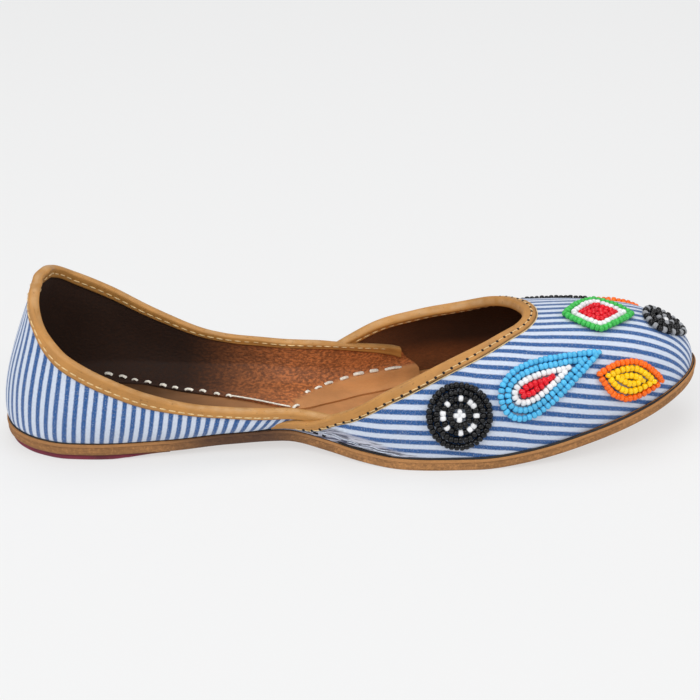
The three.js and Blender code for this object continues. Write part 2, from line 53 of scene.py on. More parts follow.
# Sizes of the last and of the shoe's layers, in millimetres. X runs from the heel to the toe,
# -Y is the outer side, the floor is at 0.
LENGTH = 245.0
HALF_BALL = 37.0
INSTEP_RISE = 39.0
HEEL_HEIGHT = 63.0
TOE_SPRING = 17.4
ARCH_RISE = 4.2
SOLE_THICKNESS = 4.5
LIFT_THICKNESS = 2.0
LIFT_LENGTH = 58.0
LIFT_SKIVE = 1.7
LIFT_SKIVE_START = 0.74
LIFT_INSET = 1.6
INSOLE_THICKNESS = 1.8
WALL = 1.8
CLOTH = 0.8
WELT = 0.9
TOE_WELT = 1.5
BINDING_MOST = 0.8
INNER_LEG = 0.8
BINDING_SKIN = 0.6
GAP = 0.3
LAP_FUSE = 0.6
LAP_START = 84.0
LAP_FULL = 102.0
LAP_RAISE = 0.4
QUARTER_FRONT = 140.0
VAMP_TAIL = 93.0
SECTION_POWER = 2.3
LEAN_POWER = 1.2
WALL_SWELL = 2.8
SWELL_POWER = 0.7
SEAT = LIFT_THICKNESS + GAP

# Middle of the shoe's box on the floor, where the frame has its origin.
MIDDLE = np.array([122.5, 0.62987, 0.0])

# Small steps from which slopes are taken: of any measure, and up a wall. Least half width of the last.
STEP = 1e-3
WALL_STEP = 0.02
LEAST_HALF = 1e-6

# Station, half width as a share of half the ball width, middle moved across.
SOLE_PLAN = (
    (0.000, 0.000, 0.0), (0.020, 0.372, 0.0), (0.049, 0.543, 0.0), (0.090, 0.650, 0.0),
    (0.143, 0.676, 0.0), (0.225, 0.616, -0.4), (0.318, 0.512, -1.7), (0.400, 0.475, -3.0),
    (0.457, 0.562, -4.1), (0.510, 0.720, -4.0), (0.571, 0.895, -2.3), (0.629, 0.975, -0.3),
    (0.694, 1.000, 0.8), (0.767, 0.955, 1.7), (0.841, 0.862, 2.6), (0.914, 0.690, 3.5),
    (0.967, 0.448, 4.5), (1.000, 0.000, 5.4),
)

# Station, underside of the sole above the floor.
SOLE_RISE = (
    (0.000, SEAT), (0.235, SEAT), (0.320, SEAT + 0.55 * (ARCH_RISE - SEAT)), (0.400, ARCH_RISE),
    (0.500, 0.2 * ARCH_RISE), (0.560, 0.0), (0.665, 0.0), (0.735, 0.09 * TOE_SPRING),
    (0.837, 0.38 * TOE_SPRING), (0.918, 0.67 * TOE_SPRING), (1.000, TOE_SPRING),
)

# Side of the sole from its top: depth, inset.
SOLE_EDGE = (
    (0.00, 0.70), (0.06, 0.34), (0.22, 0.08), (0.45, 0.00), (0.95, 0.00), (1.12, 0.06),
    (1.24, 0.34), (1.60, 0.36), (2.60, 0.28), (3.50, 0.34), (4.05, 0.50), (4.38, 0.80), (4.50, 1.25),
)

# Side of the insole and of the lift from their tops: depth, inset.
INSOLE_EDGE = ((0.0, 1.1), (0.06, 0.6), (0.25, 0.18), (0.6, 0.0), (1.4, 0.0), (INSOLE_THICKNESS, 0.15))
LIFT_EDGE = ((0.0, 0.15), (0.15, 0.0), (1.3, 0.0), (1.75, 0.18), (LIFT_THICKNESS, 0.55))

# Station, how far the insole's edge stands in from the sole's edge.
INSOLE_INSET = (
    (0.00, 4.2), (0.30, 4.0), (0.38, 5.6), (0.58, 6.2), (0.66, 4.2), (0.80, 4.9), (0.90, 6.0), (1.00, 6.4),
)

# Station, height of the collar on the outer and inner side as a share of the heel height,
# lean of the wall outwards on the outer and inner side.
COLLAR = (
    (0.000, 0.908, 0.908, -11.8, -11.8), (0.010, 0.905, 0.925, -9.8, -10.9),
    (0.030, 0.835, 0.925, -6.2, -9.6), (0.060, 0.692, 0.884, -3.9, -4.6),
    (0.100, 0.598, 0.796, -0.6, -1.2), (0.150, 0.503, 0.681, 1.8, 1.2),
    (0.210, 0.395, 0.545, 3.2, 2.6), (0.290, 0.305, 0.419, 4.0, 4.2),
    (0.350, 0.280, 0.394, 4.2, 4.8), (0.400, 0.256, 0.394, 4.0, 5.0),
    (0.450, 0.245, 0.378, 3.6, 4.8), (0.500, 0.231, 0.332, 3.3, 4.4),
    (0.580, 0.222, 0.273, 3.0, 4.0),
)

# Station, crest above the feather edge as a share of the instep rise, swell, ridge.
LAST = (
    (0.360, 0.880, 4.6, 1.0), (0.430, 0.930, 4.2, 1.0), (0.500, 0.980, 3.0, 1.0),
    (0.600, 0.985, 1.6, 0.9), (0.700, 0.952, 1.1, 0.8), (0.760, 0.898, 1.0, 0.6),
    (0.841, 0.785, 0.9, 0.4), (0.898, 0.668, 0.8, 0.2), (0.947, 0.495, 0.6, 0.0),
    (0.983, 0.280, 0.3, 0.0), (1.000, 0.000, 0.0, 0.0),
)

# Way out from the throat's middle, station of its edge, share of the half width on each side.
THROAT = (
    (0.000, 0.7455, 0.000, 0.000), (0.106, 0.7445, 0.078, 0.078), (0.192, 0.7405, 0.165, 0.165),
    (0.315, 0.7285, 0.280, 0.330), (0.462, 0.6985, 0.417, 0.575), (0.600, 0.6540, 0.578, 0.740),
    (0.720, 0.6000, 0.725, 0.806), (0.800, 0.5480, 0.837, 0.838), (0.880, 0.4880, 0.955, 0.932),
    (0.940, 0.4330, 0.996, 0.987), (1.000, VAMP_TAIL / LENGTH, 0.9992, 0.9992),
)

# Station, outer leg of the binding on the quarter and on the vamp.
QUARTER_LEG = (
    (0.00, 4.8), (0.11, 4.8), (0.17, 4.4), (0.22, 3.5), (0.27, 2.7), (0.32, 2.3), (0.47, 2.3),
    (0.52, 3.0), (0.58, 4.4),
)
VAMP_LEG = ((0.38, 2.4), (0.46, 3.2), (0.51, 3.6), (0.56, 3.8), (0.61, 3.9), (0.68, 4.3), (0.75, 4.2))

# Lining turned in over the insole: where its edge runs on the inner side, X then Y.
TURN_IN_EDGE = (
    (0.0, 15.0), (12.0, 17.0), (24.0, 18.0), (33.8, 17.6), (44.5, 17.0), (54.8, 13.0), (64.1, 8.8),
    (74.1, 4.2), (85.9, -1.4), (94.6, -6.2), (101.0, -8.8), (103.7, -8.2), (112.4, -1.3), (122.0, 6.2),
    (135.0, 13.0), (150.0, 20.0),
)

# Row of the lining's grid at which its pebbled wall ends and the smooth turned-in part starts, by X.
TURN_IN_ROW = (
    (90.0, 50.0), (98.0, 48.0), (102.0, 44.0), (106.4, 41.0), (110.3, 39.0), (114.2, 36.4), (119.9, 34.2),
    (125.3, 33.2), (131.0, 33.0), (138.2, 33.6), (150.0, 34.0),
)

# Front end of the inner quarter: how far its collar droops, and how far its lining slants forward.
DROOP = 2.9
DROOP_START = 118.0
SLANT = 0.03
SLANT_START = 0.8

# Lean of the stripes on the quarter: arc from the heel in millimetres, degrees towards the toe.
STRIPE_LEAN = ((0.0, 0.0), (15.0, 4.0), (40.0, 6.5), (75.0, 8.0), (92.0, 16.0), (104.0, 36.0), (125.0, 48.0))

# Shift of the stripes on the vamp away from the crest, by X.
STRIPE_SHIFT = (
    (90.0, -16.5), (105.0, -14.5), (125.0, -10.2), (150.0, -5.2), (175.0, -1.9), (190.0, -0.4),
    (205.0, 0.5), (220.0, 0.3), (228.0, -0.9), (234.0, -2.9), (240.0, -6.0), (243.5, -8.5),
)

# Height over the feather edge of the soiled, turned cloth at the outer waist, by X.
SOILED = ((90.0, 7.0), (118.0, 6.0), (127.0, 5.0), (134.0, 3.0), (142.0, 0.9), (150.0, -0.5))

# Puckers of the cloth over the outer waist: X, height over the feather edge, half length along,
# half width across, depth, slope.
PUCKERS = (
    (112.0, 3.4, 6.0, 0.8, 0.55, 0.10), (120.0, 2.2, 8.0, 0.7, 0.70, 0.06),
    (126.0, 4.3, 7.0, 0.8, 0.45, 0.08), (132.0, 1.6, 7.0, 0.6, 0.55, 0.02),
    (117.0, 5.6, 6.0, 0.9, -0.35, 0.12), (124.0, 3.2, 7.0, 0.7, -0.40, 0.07),
)


def srgb(red, green, blue):
    """Linear colour of an 8-bit screen colour."""
    parts = [c / 255 for c in (red, green, blue)]
    return tuple(c / 12.92 if c <= 0.04045 else ((c + 0.055) / 1.055) ** 2.4 for c in parts)


def colour_property(name, description, rgb):
    return FloatVectorProperty(
        name=name, description=description, subtype="COLOR", size=3, min=0.0, max=1.0, default=srgb(*rgb)
    )


def length_property(name, description, millimetres):
    return FloatProperty(
        name=name, description=description, subtype="DISTANCE", unit="LENGTH", min=0.0,
        default=millimetres / 1000, precision=5,
    )


class JuttiSizes(bpy.types.PropertyGroup):
    """Sizes of what is sewn on the shoe."""

    stripe_pitch: length_property("Stripe pitch", "From one blue stripe to the next on the vamp", 3.6)
    heel_pitch: length_property("Heel stripe pitch", "From one blue stripe to the next on the quarter", 3.2)
    stripe_share: FloatProperty(
        name="Stripe share", description="Part of the pitch that is blue", subtype="FACTOR",
        min=0.1, max=0.9, default=0.49,
    )
    bead_width: length_property("Bead width", "Across a bead's hole", 2.45)
    bead_length: length_property("Bead length", "Along a bead's hole", 1.7)
    bead_row: length_property("Bead row", "From one row of beads to the next", 2.3)
    bead_step: length_property("Bead step", "From one bead to the next in its row", 1.72)
    stitch_step: length_property("Stitch step", "From one binding stitch to the next", 3.3)
    stitch_length: length_property("Stitch length", "Length of a binding stitch", 2.5)
    thread_width: length_property("Thread width", "Thickness of the binding thread", 0.5)
    tie_length: length_property("Hand stitch length", "Length of a stitch that holds the lining down", 2.6)
    tie_width: length_property("Hand thread width", "Thickness of the hand thread", 1.2)
    hole_width: length_property("Hole width", "Across a needle hole in the vamp's binding", 1.05)


class JuttiColours(bpy.types.PropertyGroup):
    """Colours of the shoe's materials."""

    stripe_blue: colour_property("Stripe blue", "Blue yarn of the cloth", (32, 82, 142))
    stripe_white: colour_property("Stripe white", "White yarn of the cloth", (207, 216, 232))
    binding: colour_property("Binding", "Tan leather of the bindings", (187, 132, 66))
    lining: colour_property("Lining", "Brown leather of the lining", (158, 92, 48))
    insole: colour_property("Insole", "Tan leather of the insole", (196, 134, 80))
    sole: colour_property("Sole", "Cut edge of the sole", (168, 118, 70))
    waist: colour_property("Waist", "Burnished edge at the waist", (60, 32, 22))
    lift: colour_property("Lift", "Dyed leather under the heel", (112, 32, 52))
    cream: colour_property("Cream thread", "Thread of the bindings", (228, 196, 140))
    white: colour_property("White thread", "Hand thread of the lining", (242, 236, 222))
    # Also painted shade in the needle holes and in the gaps at the vamp's binding and the outer waist.
    black: colour_property("Black", "Wax in the line over the sole and in the needle holes", (14, 14, 18))


def sizes():
    return bpy.context.scene.jutti_sizes


def colours():
    return bpy.context.scene.jutti_colours


# Curves of the last.

def plain(t):
    return t


def sweep(part):
    return np.arccos(1 - 2 * np.clip(part, 0, 1))


def share(angle):
    return (1 - np.cos(angle)) / 2


def ease(start, end, t):
    s = np.clip((np.asarray(t, float) - start) / (end - start), 0, 1)
    return s * s * (3 - 2 * s)


def curve(table, column, warp=plain):
    """Smooth curve through one column of a table, without overshoot between its rows."""
    rows = np.array(table, float)
    xs = warp(rows[:, 0])
    ys = rows[:, column]
    steps = np.diff(ys) / np.diff(xs)
    product = steps[:-1] * steps[1:]
    total = np.where(product > 0, steps[:-1] + steps[1:], 1)
    slopes = np.concatenate([steps[:1], np.where(product > 0, 2 * product / total, 0), steps[-1:]])

    def at(t):
        held = np.clip(warp(np.asarray(t, float)), xs[0], xs[-1])
        i = np.clip(np.searchsorted(xs, held) - 1, 0, len(xs) - 2)
        width = xs[i + 1] - xs[i]
        s = (held - xs[i]) / width
        rise = ys[i + 1] - ys[i]
        bend = slopes[i] + slopes[i + 1]
        cubic = 3 * rise - (slopes[i] + bend) * width + s * (bend * width - 2 * rise)
        return ys[i] + s * (slopes[i] * width + s * cubic)

    return at


half_share = curve(SOLE_PLAN, 1, sweep)
shift_at = curve(SOLE_PLAN, 2)
rise_at = curve(SOLE_RISE, 1)
insole_inset = curve(INSOLE_INSET, 1)
collar_outer = curve(COLLAR, 1, sweep)
collar_inner = curve(COLLAR, 2, sweep)
lean_outer = curve(COLLAR, 3, sweep)
lean_inner = curve(COLLAR, 4, sweep)
crest_at = curve(LAST, 1, sweep)
swell_at = curve(LAST, 2)
ridge_at = curve(LAST, 3)
THROAT_ROWS = [(-out, station, -outer) for out, station, outer, inner in THROAT[:0:-1]]
THROAT_ROWS += [(out, station, inner) for out, station, outer, inner in THROAT]
throat_at = curve(THROAT_ROWS, 1)
throat_across = curve(THROAT_ROWS, 2)
turn_in_edge = curve(TURN_IN_EDGE, 1)
turn_in_row = curve(TURN_IN_ROW, 1)
stripe_lean = curve(STRIPE_LEAN, 1)
stripe_shift = curve(STRIPE_SHIFT, 1)
soiled = curve(SOILED, 1)


def stack(*parts):
    return np.stack(np.broadcast_arrays(*parts), axis=-1)


def unit(vectors):
    size = np.linalg.norm(vectors, axis=-1, keepdims=True)
    return vectors / np.where(size == 0, 1, size)


def sole_top(x):
    return rise_at(x / LENGTH) + SOLE_THICKNESS


def feather_z(x):
    return sole_top(x) + GAP


def insole_top(x):
    return feather_z(x) + INSOLE_THICKNESS


def sole_plan(angle, side):
    at = share(angle)
    return stack(LENGTH * at, shift_at(at) + side * HALF_BALL * half_share(at))


def plan_normal(angle, side):
    """Outward direction of the sole's edge in plan."""
    angle, side = np.broadcast_arrays(np.asarray(angle, float), np.asarray(side, float))
    after = angle + STEP
    before = angle - STEP
    past = after > math.pi
    under = before < 0
    ahead = sole_plan(np.where(past, 2 * math.pi - after, after), np.where(past, -side, side))
    behind = sole_plan(np.where(under, -before, before), np.where(under, -side, side))
    along = unit(ahead - behind)
    return stack(-side * along[..., 1], side * along[..., 0])


def inset_plan(angle, side, inset):
    return sole_plan(angle, side) - plan_normal(angle, side) * np.asarray(inset)[..., None]


FEATHER_LENGTH = LENGTH - WELT - TOE_WELT

# Shares of the length over which the feather edge draws in towards the toe.
TOE_DRAW = (0.7, 0.9)


def feather_share(x):
    return (x - WELT) / FEATHER_LENGTH


def feather_half(x):
    at = feather_share(x)
    draw = 1 - (TOE_WELT / HALF_BALL) * ease(*TOE_DRAW, at)
    return (HALF_BALL - WELT) * half_share(at) * draw


def feather_middle(x):
    return shift_at(feather_share(x))


def last_point(x, turn):
    """Outer face of the last: the turn is 0 on the crest and a right angle at either feather edge."""
    across = np.sign(turn) * np.abs(np.sin(turn)) ** (2 / SECTION_POWER)
    height = np.abs(np.cos(turn)) ** (2 / SECTION_POWER)
    at = feather_share(x)
    swell = np.sign(turn) * swell_at(at) * 4 * height * (1 - height)
    y = feather_middle(x) + across * feather_half(x) + swell + ridge_at(at) * height ** 2
    return stack(x, y, feather_z(x) + INSTEP_RISE * crest_at(at) * height)


def last_normal(x, turn):
    along = last_point(x + STEP, turn) - last_point(x - STEP, turn)
    around = last_point(x, turn + STEP) - last_point(x, turn - STEP)
    return unit(np.cross(along, around))


def turn_across(across):
    held = np.clip(np.abs(across), 0, 1)
    return np.sign(across) * np.arcsin(held ** (SECTION_POWER / 2))


TAIL_SWEEP = sweep(feather_share(VAMP_TAIL))
FRONT_SWEEP = sweep(feather_share(QUARTER_FRONT))


def vamp_place(out, up):
    """Station and turn on the last: out is -1 and +1 at the tails, 0 at the toe, up ends at the throat."""
    angle = math.pi - np.abs(out) * (math.pi - TAIL_SWEEP)
    foot_x = WELT + FEATHER_LENGTH * share(angle)
    foot_y = np.sign(out) * feather_half(foot_x)
    edge_x = LENGTH * throat_at(out)
    edge_across = throat_across(out)
    edge_y = edge_across * feather_half(edge_x)
    full = np.arccos(np.abs(edge_across) ** (SECTION_POWER / 2))

    def reach(s):
        return 1 - np.maximum(np.cos(np.minimum(full * s, math.pi / 2)), 0) ** (2 / SECTION_POWER)

    moved = reach(up) / reach(1)
    x = foot_x + (edge_x - foot_x) * moved
    half = np.maximum(feather_half(x), LEAST_HALF)
    return x, turn_across((foot_y + (edge_y - foot_y) * moved) / half)


def vamp_face(out, up):
    return last_point(*vamp_place(out, up))


def quarter_face(around, up):
    """Outer face of the quarter: around is -1 and +1 at its front ends, 0 at the heel."""
    around, up = np.broadcast_arrays(np.asarray(around, float), np.asarray(up, float))
    side = np.where(around < 0, -1.0, 1.0)
    angle = np.abs(around) * FRONT_SWEEP
    at = share(angle)
    x = WELT + FEATHER_LENGTH * at
    foot = stack(x, feather_middle(x) + side * feather_half(x))
    lean = np.where(side < 0, lean_outer(at), lean_inner(at))
    held = np.clip(up, 0, None)
    stand = lean * held ** LEAN_POWER + WALL_SWELL * np.sin(math.pi * np.minimum(held, 1) ** SWELL_POWER)
    foot = foot + plan_normal(angle, side) * stand[..., None]
    droop = DROOP * np.clip((x - DROOP_START) / (QUARTER_FRONT - DROOP_START), 0, 1) ** 2
    top = np.where(side < 0, HEEL_HEIGHT * collar_outer(at), HEEL_HEIGHT * collar_inner(at) - droop)
    low = feather_z(x)
    own = stack(foot[..., 0], foot[..., 1], low + (top - low) * up)
    weight = ease(LAP_START, LAP_FULL, x)[..., None]
    tall = INSTEP_RISE * crest_at(feather_share(x))
    height = np.clip((own[..., 2] - low) / tall, 0, 1)
    turn = side * np.arccos(height ** (SECTION_POWER / 2))
    lap = last_point(x, turn) + last_normal(x, turn) * (LAP_FUSE - WALL)
    lap[..., 2] = own[..., 2] + LAP_RAISE
    return own + (lap - own) * weight


class Wall:
    """A wall of the upper: its face, which way its outside lies, and its counts along and up."""

    def __init__(self, face, turn, legs, columns, rows):
        self.face = face
        self.turn = turn
        self.legs = curve(legs, 1)
        self.columns = columns
        self.rows = rows

    def grid(self):
        """Places along the wall and up it."""
        return np.linspace(-1, 1, self.columns + 1)[:, None], np.linspace(0, 1, self.rows + 1)[None, :]

    def normal(self, u, v):
        held = np.maximum(v, WALL_STEP)
        along = self.face(u + STEP, held) - self.face(u - STEP, held)
        rise = self.face(u, held + STEP) - self.face(u, held - STEP)
        normal = unit(np.cross(along, rise))
        level = unit(normal * np.array([1.0, 1.0, 0.0]))
        return self.turn * np.where(np.asarray(v)[..., None] <= 0, level, normal)

    def point(self, u, v, offset, lift=0.0):
        """Point off the wall's face, lifted past its upper edge along the wall."""
        u, v, offset, lift = np.broadcast_arrays(u, v, offset, lift)
        rise = unit(self.face(u, v) - self.face(u, v - STEP))
        return self.face(u, v) + self.normal(u, v) * offset[..., None] + rise * lift[..., None]

    def pace(self, u):
        """Length of wall for a whole step of v, at its upper edge."""
        return np.linalg.norm(self.face(u, 1.0) - self.face(u, 1 - WALL_STEP), axis=-1) / WALL_STEP

    def leg(self, u):
        """Width of the binding's outer leg, less where the wall runs out."""
        edge = self.face(u, 1.0)
        tall = np.linalg.norm(edge - self.face(u, 0.0), axis=-1)
        return np.minimum(self.legs(edge[..., 0] / LENGTH), BINDING_MOST * tall)


VAMP = Wall(vamp_face, 1, VAMP_LEG, 260, 46)
QUARTER = Wall(quarter_face, -1, QUARTER_LEG, 230, 30)


def arc_along(points):
    """Length along a line of points, from its first."""
    steps = np.linalg.norm(np.diff(points, axis=0), axis=-1)
    return np.concatenate([[0.0], np.cumsum(steps)])


# Waves that make up a ripple, range of their lengths as a share of its size.
RIPPLE_WAVES = 7
RIPPLE_LENGTHS = (0.7, 1.5)


def ripple(points, size, depth, seed):
    """Soft unevenness of a surface, from a few crossed waves with fixed phases."""
    rng = np.random.default_rng(seed)
    total = np.zeros(points.shape[:-1])
    for _ in range(RIPPLE_WAVES):
        way = unit(rng.normal(size=3)) * 2 * math.pi / (size * rng.uniform(*RIPPLE_LENGTHS))
        total = total + np.sin(points @ way + rng.uniform(0, 2 * math.pi))
    return depth * total / RIPPLE_WAVES ** 0.5


# Meshes and objects.

# Angles in degrees past which an edge stays sharp, distances in metres at which points and edges are merged.
SHARP_EDGE = 40.0
SHARP_FOLD = 50.0
MERGE_POINTS = 2e-6
MERGE_EDGES = 1e-7

# Threads: a direction across the first ring, share of the radius at the two ends.
THREAD_ACROSS = (0.3, 0.2, 1.0)
THREAD_END = 0.6


def to_frame(points):
    return (np.asarray(points, float) - MIDDLE) * 1e-3


def add_object(name, points, faces, attributes=None, sharp=SHARP_EDGE):
    """Object at the origin from points in millimetres, with smooth faces and named vectors on its points."""
    mesh = bpy.data.meshes.new(name)
    mesh.from_pydata(to_frame(points).tolist(), [], [list(face) for face in faces])
    for key, values in (attributes or {}).items():
        layer = mesh.attributes.new(key, "FLOAT_VECTOR", "POINT")
        layer.data.foreach_set("vector", np.asarray(values, np.float32).ravel())
    mesh.validate()
    mesh.shade_smooth()
    if sharp:
        mesh.set_sharp_from_angle(angle=math.radians(sharp))
    made = bpy.data.objects.new(name, mesh)
    bpy.context.scene.collection.objects.link(made)
    return made


def settle(piece, material, slot, *nodes):
    """Gives a piece its finish, its place on the shoe and the solids that it stands for."""
    if material is not None:
        piece.data.materials.clear()
        piece.data.materials.append(material)
    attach(piece, BODY)
    if nodes:
        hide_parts(*nodes)


def grid_faces(columns, rows, start=0, flip=False, around=False):
    """Quads of a grid of points, which closes on itself along its columns where around is set."""
    i, j = np.meshgrid(np.arange(columns if around else columns - 1), np.arange(rows - 1), indexing="ij")
    after = (i + 1) % columns
    corners = [i * rows + j, after * rows + j, after * rows + j + 1, i * rows + j + 1]
    quads = np.stack(corners, axis=-1).reshape(-1, 4) + start
    return quads[:, ::-1] if flip else quads


def shell(name, outer, inner, attribute, flip=False):
    """Closed sheet between two grids of points."""
    columns, rows = outer.shape[:2]
    count = columns * rows
    faces = [grid_faces(columns, rows, 0, flip), grid_faces(columns, rows, count, not flip)]
    rim = [i * rows for i in range(columns)]
    rim += [(columns - 1) * rows + j for j in range(1, rows)]
    rim += [i * rows + rows - 1 for i in range(columns - 2, -1, -1)]
    rim = np.array(rim + list(range(rows - 2, 0, -1)))
    after = np.roll(rim, -1)
    side = np.stack([rim, rim + count, after + count, after], axis=-1)
    faces.append(side[:, ::-1] if flip else side)
    points = np.concatenate([outer.reshape(-1, 3), inner.reshape(-1, 3)])
    values = np.concatenate([attribute.reshape(-1, 3)] * 2)
    return add_object(name, points, np.concatenate(faces).tolist(), {"lay": values})


def tube_points(path, radii, sides):
    """Rings round a path of points, with a frame that turns as little as it can."""
    path = np.asarray(path, float)
    tangents = unit(np.gradient(path, axis=0))
    radii = np.broadcast_to(radii, len(path))
    across = unit(np.cross(tangents[0], THREAD_ACROSS))
    rings = []
    angles = np.linspace(0, 2 * math.pi, sides, endpoint=False)
    for point, tangent, radius in zip(path, tangents, radii):
        across = unit(across - tangent * (across @ tangent))
        other = np.cross(tangent, across)
        rings.append(point + radius * (np.outer(np.cos(angles), across) + np.outer(np.sin(angles), other)))
    return np.array(rings)


def add_tubes(name, paths, radius, sides=7):
    """One object of round threads with closed ends."""
    points = []
    faces = []
    for path in paths:
        count = len(path)
        taper = np.array(np.broadcast_to(radius, count), float)
        taper[[0, -1]] *= THREAD_END
        start = sum(len(p) for p in points)
        rings = tube_points(path, taper, sides)
        points.append(rings.reshape(-1, 3))
        for i in range(count - 1):
            for k in range(sides):
                a = start + i * sides + k
                b = start + i * sides + (k + 1) % sides
                faces.append((a, b, b + sides, a + sides))
        faces.append(tuple(start + k for k in range(sides - 1, -1, -1)))
        faces.append(tuple(start + (count - 1) * sides + k for k in range(sides)))
    return add_object(name, np.concatenate(points), faces, sharp=0)


def smooth_path(points, count):
    """Evenly spaced points on a smooth line through the given ones."""
    points = np.asarray(points, float)
    at = arc_along(points)
    ends = np.linspace(0, at[-1], count)
    return stack(*[curve(np.stack([at, points[:, k]], axis=1), 1)(ends) for k in range(3)])


# Materials.

# Places in the frame where a finish changes, in metres: heights at the lining's foot, otherwise X.
# The bands of the lining and of the insole bound their painted shade.
LINING_HEEL_SHADE = (-0.062, -0.014)
LINING_SHADE_FOOT = (0.009, 0.018)
LINING_TOE_SHADE = (0.0, 0.045)
INSOLE_HEEL_SHADE = (-0.080, 0.0)
SOLE_HEEL = (-0.10, -0.06)
WAIST_START = (-0.075, -0.045)
WAIST_END = (-0.034, -0.004)
LIFT_FRONT = (-0.076, -0.066)

# Depths on the sole's side in millimetres: end of the rand, groove under it, start of the rounded foot.
RAND_END = (1.02, 1.22)
GROOVE = 1.22
SOLE_FOOT = (4.05, 4.42)

# Values of a cloudy noise that give the darkest and the lightest tone.
CLOUDS = (0.30, 0.72)

# Yarns of the cloth: from one warp and one weft thread to the next but one, in millimetres.
WARP_PITCH = 0.46
WEFT_PITCH = 0.50


class Tone:
    """A socket of a material, on which Python's operators add Math nodes."""

    def __init__(self, tree, socket=None):
        self.tree = tree
        self.socket = socket

    def node(self, kind, settings=None, sockets=None, out=0):
        """Adds a node: its settings first, then the values or links of its sockets."""
        made = self.tree.nodes.new(kind)
        for key, value in (settings or {}).items():
            setattr(made, key, value)
        for key, value in (sockets or {}).items():
            if isinstance(value, Tone):
                self.tree.links.new(value.socket, made.inputs[key])
            else:
                made.inputs[key].default_value = value
        return Tone(self.tree, made.outputs[out] if made.outputs else None)

    def math(self, operation, *values):
        return self.node("ShaderNodeMath", {"operation": operation}, dict(enumerate(values)))

    def __add__(self, other):
        return self.math("ADD", self, other)

    def __radd__(self, other):
        return self.math("ADD", other, self)

    def __sub__(self, other):
        return self.math("SUBTRACT", self, other)

    def __rsub__(self, other):
        return self.math("SUBTRACT", other, self)

    def __mul__(self, other):
        return self.math("MULTIPLY", self, other)

    def __rmul__(self, other):
        return self.math("MULTIPLY", other, self)

    def __truediv__(self, other):
        return self.math("DIVIDE", self, other)

    def __abs__(self):
        return self.math("ABSOLUTE", self)

    def band(self, low, high):
        """Soft step from 0 at low to 1 at high."""
        step = {"Value": self, "From Min": low, "From Max": high}
        return self.node("ShaderNodeMapRange", {"interpolation_type": "SMOOTHSTEP"}, step)

    def part(self, index):
        return self.node("ShaderNodeSeparateXYZ", None, {0: self}, index)

    def stretch(self, *scale):
        return self.node("ShaderNodeMapping", None, {"Vector": self, "Scale": scale})

    def noise(self, scale, detail=3.0, rough=0.55):
        values = {"Vector": self, "Scale": scale, "Detail": detail, "Roughness": rough}
        return self.node("ShaderNodeTexNoise", None, values)

    def cells(self, scale):
        return self.node("ShaderNodeTexVoronoi", None, {"Vector": self, "Scale": scale})

    def wave(self, length):
        turn = self * (2 * math.pi / length)
        return turn.math("SINE", turn)

    def mix(self, low, high):
        """Colour between two others, where this value is the factor."""
        return self.node("ShaderNodeMix", {"data_type": "RGBA"}, {0: self, 6: low, 7: high}, 2)

    def tones(self, colour, dark, light):
        """Colour that a cloudy noise turns from darker to lighter."""
        return self.band(*CLOUDS).mix(tint(colour, dark), tint(colour, light))

    def bump(self, strength, millimetres, under=None):
        values = {"Strength": strength, "Distance": millimetres / 1000, "Height": self}
        if under is not None:
            values["Normal"] = under
        return self.node("ShaderNodeBump", None, values)


def material_tree(name):
    material = bpy.data.materials.new(name)
    material.use_nodes = True
    material.node_tree.nodes.clear()
    return material, Tone(material.node_tree)


def close_material(root, colour, roughness, normal=None, **fixed):
    sockets = {"Base Color": colour, "Roughness": roughness}
    if normal is not None:
        sockets["Normal"] = normal
    sockets.update({key.replace("_", " "): value for key, value in fixed.items()})
    shader = root.node("ShaderNodeBsdfPrincipled", None, sockets)
    root.node("ShaderNodeOutputMaterial", None, {"Surface": shader})


def laid(root, name="lay"):
    return root.node("ShaderNodeAttribute", {"attribute_name": name}, None, 1)


def placed(root):
    return root.node("ShaderNodeTexCoord", None, None, 3)


def tint(colour, factor=1.0):
    return tuple(min(1.0, c * factor) for c in colour) + (1.0,)


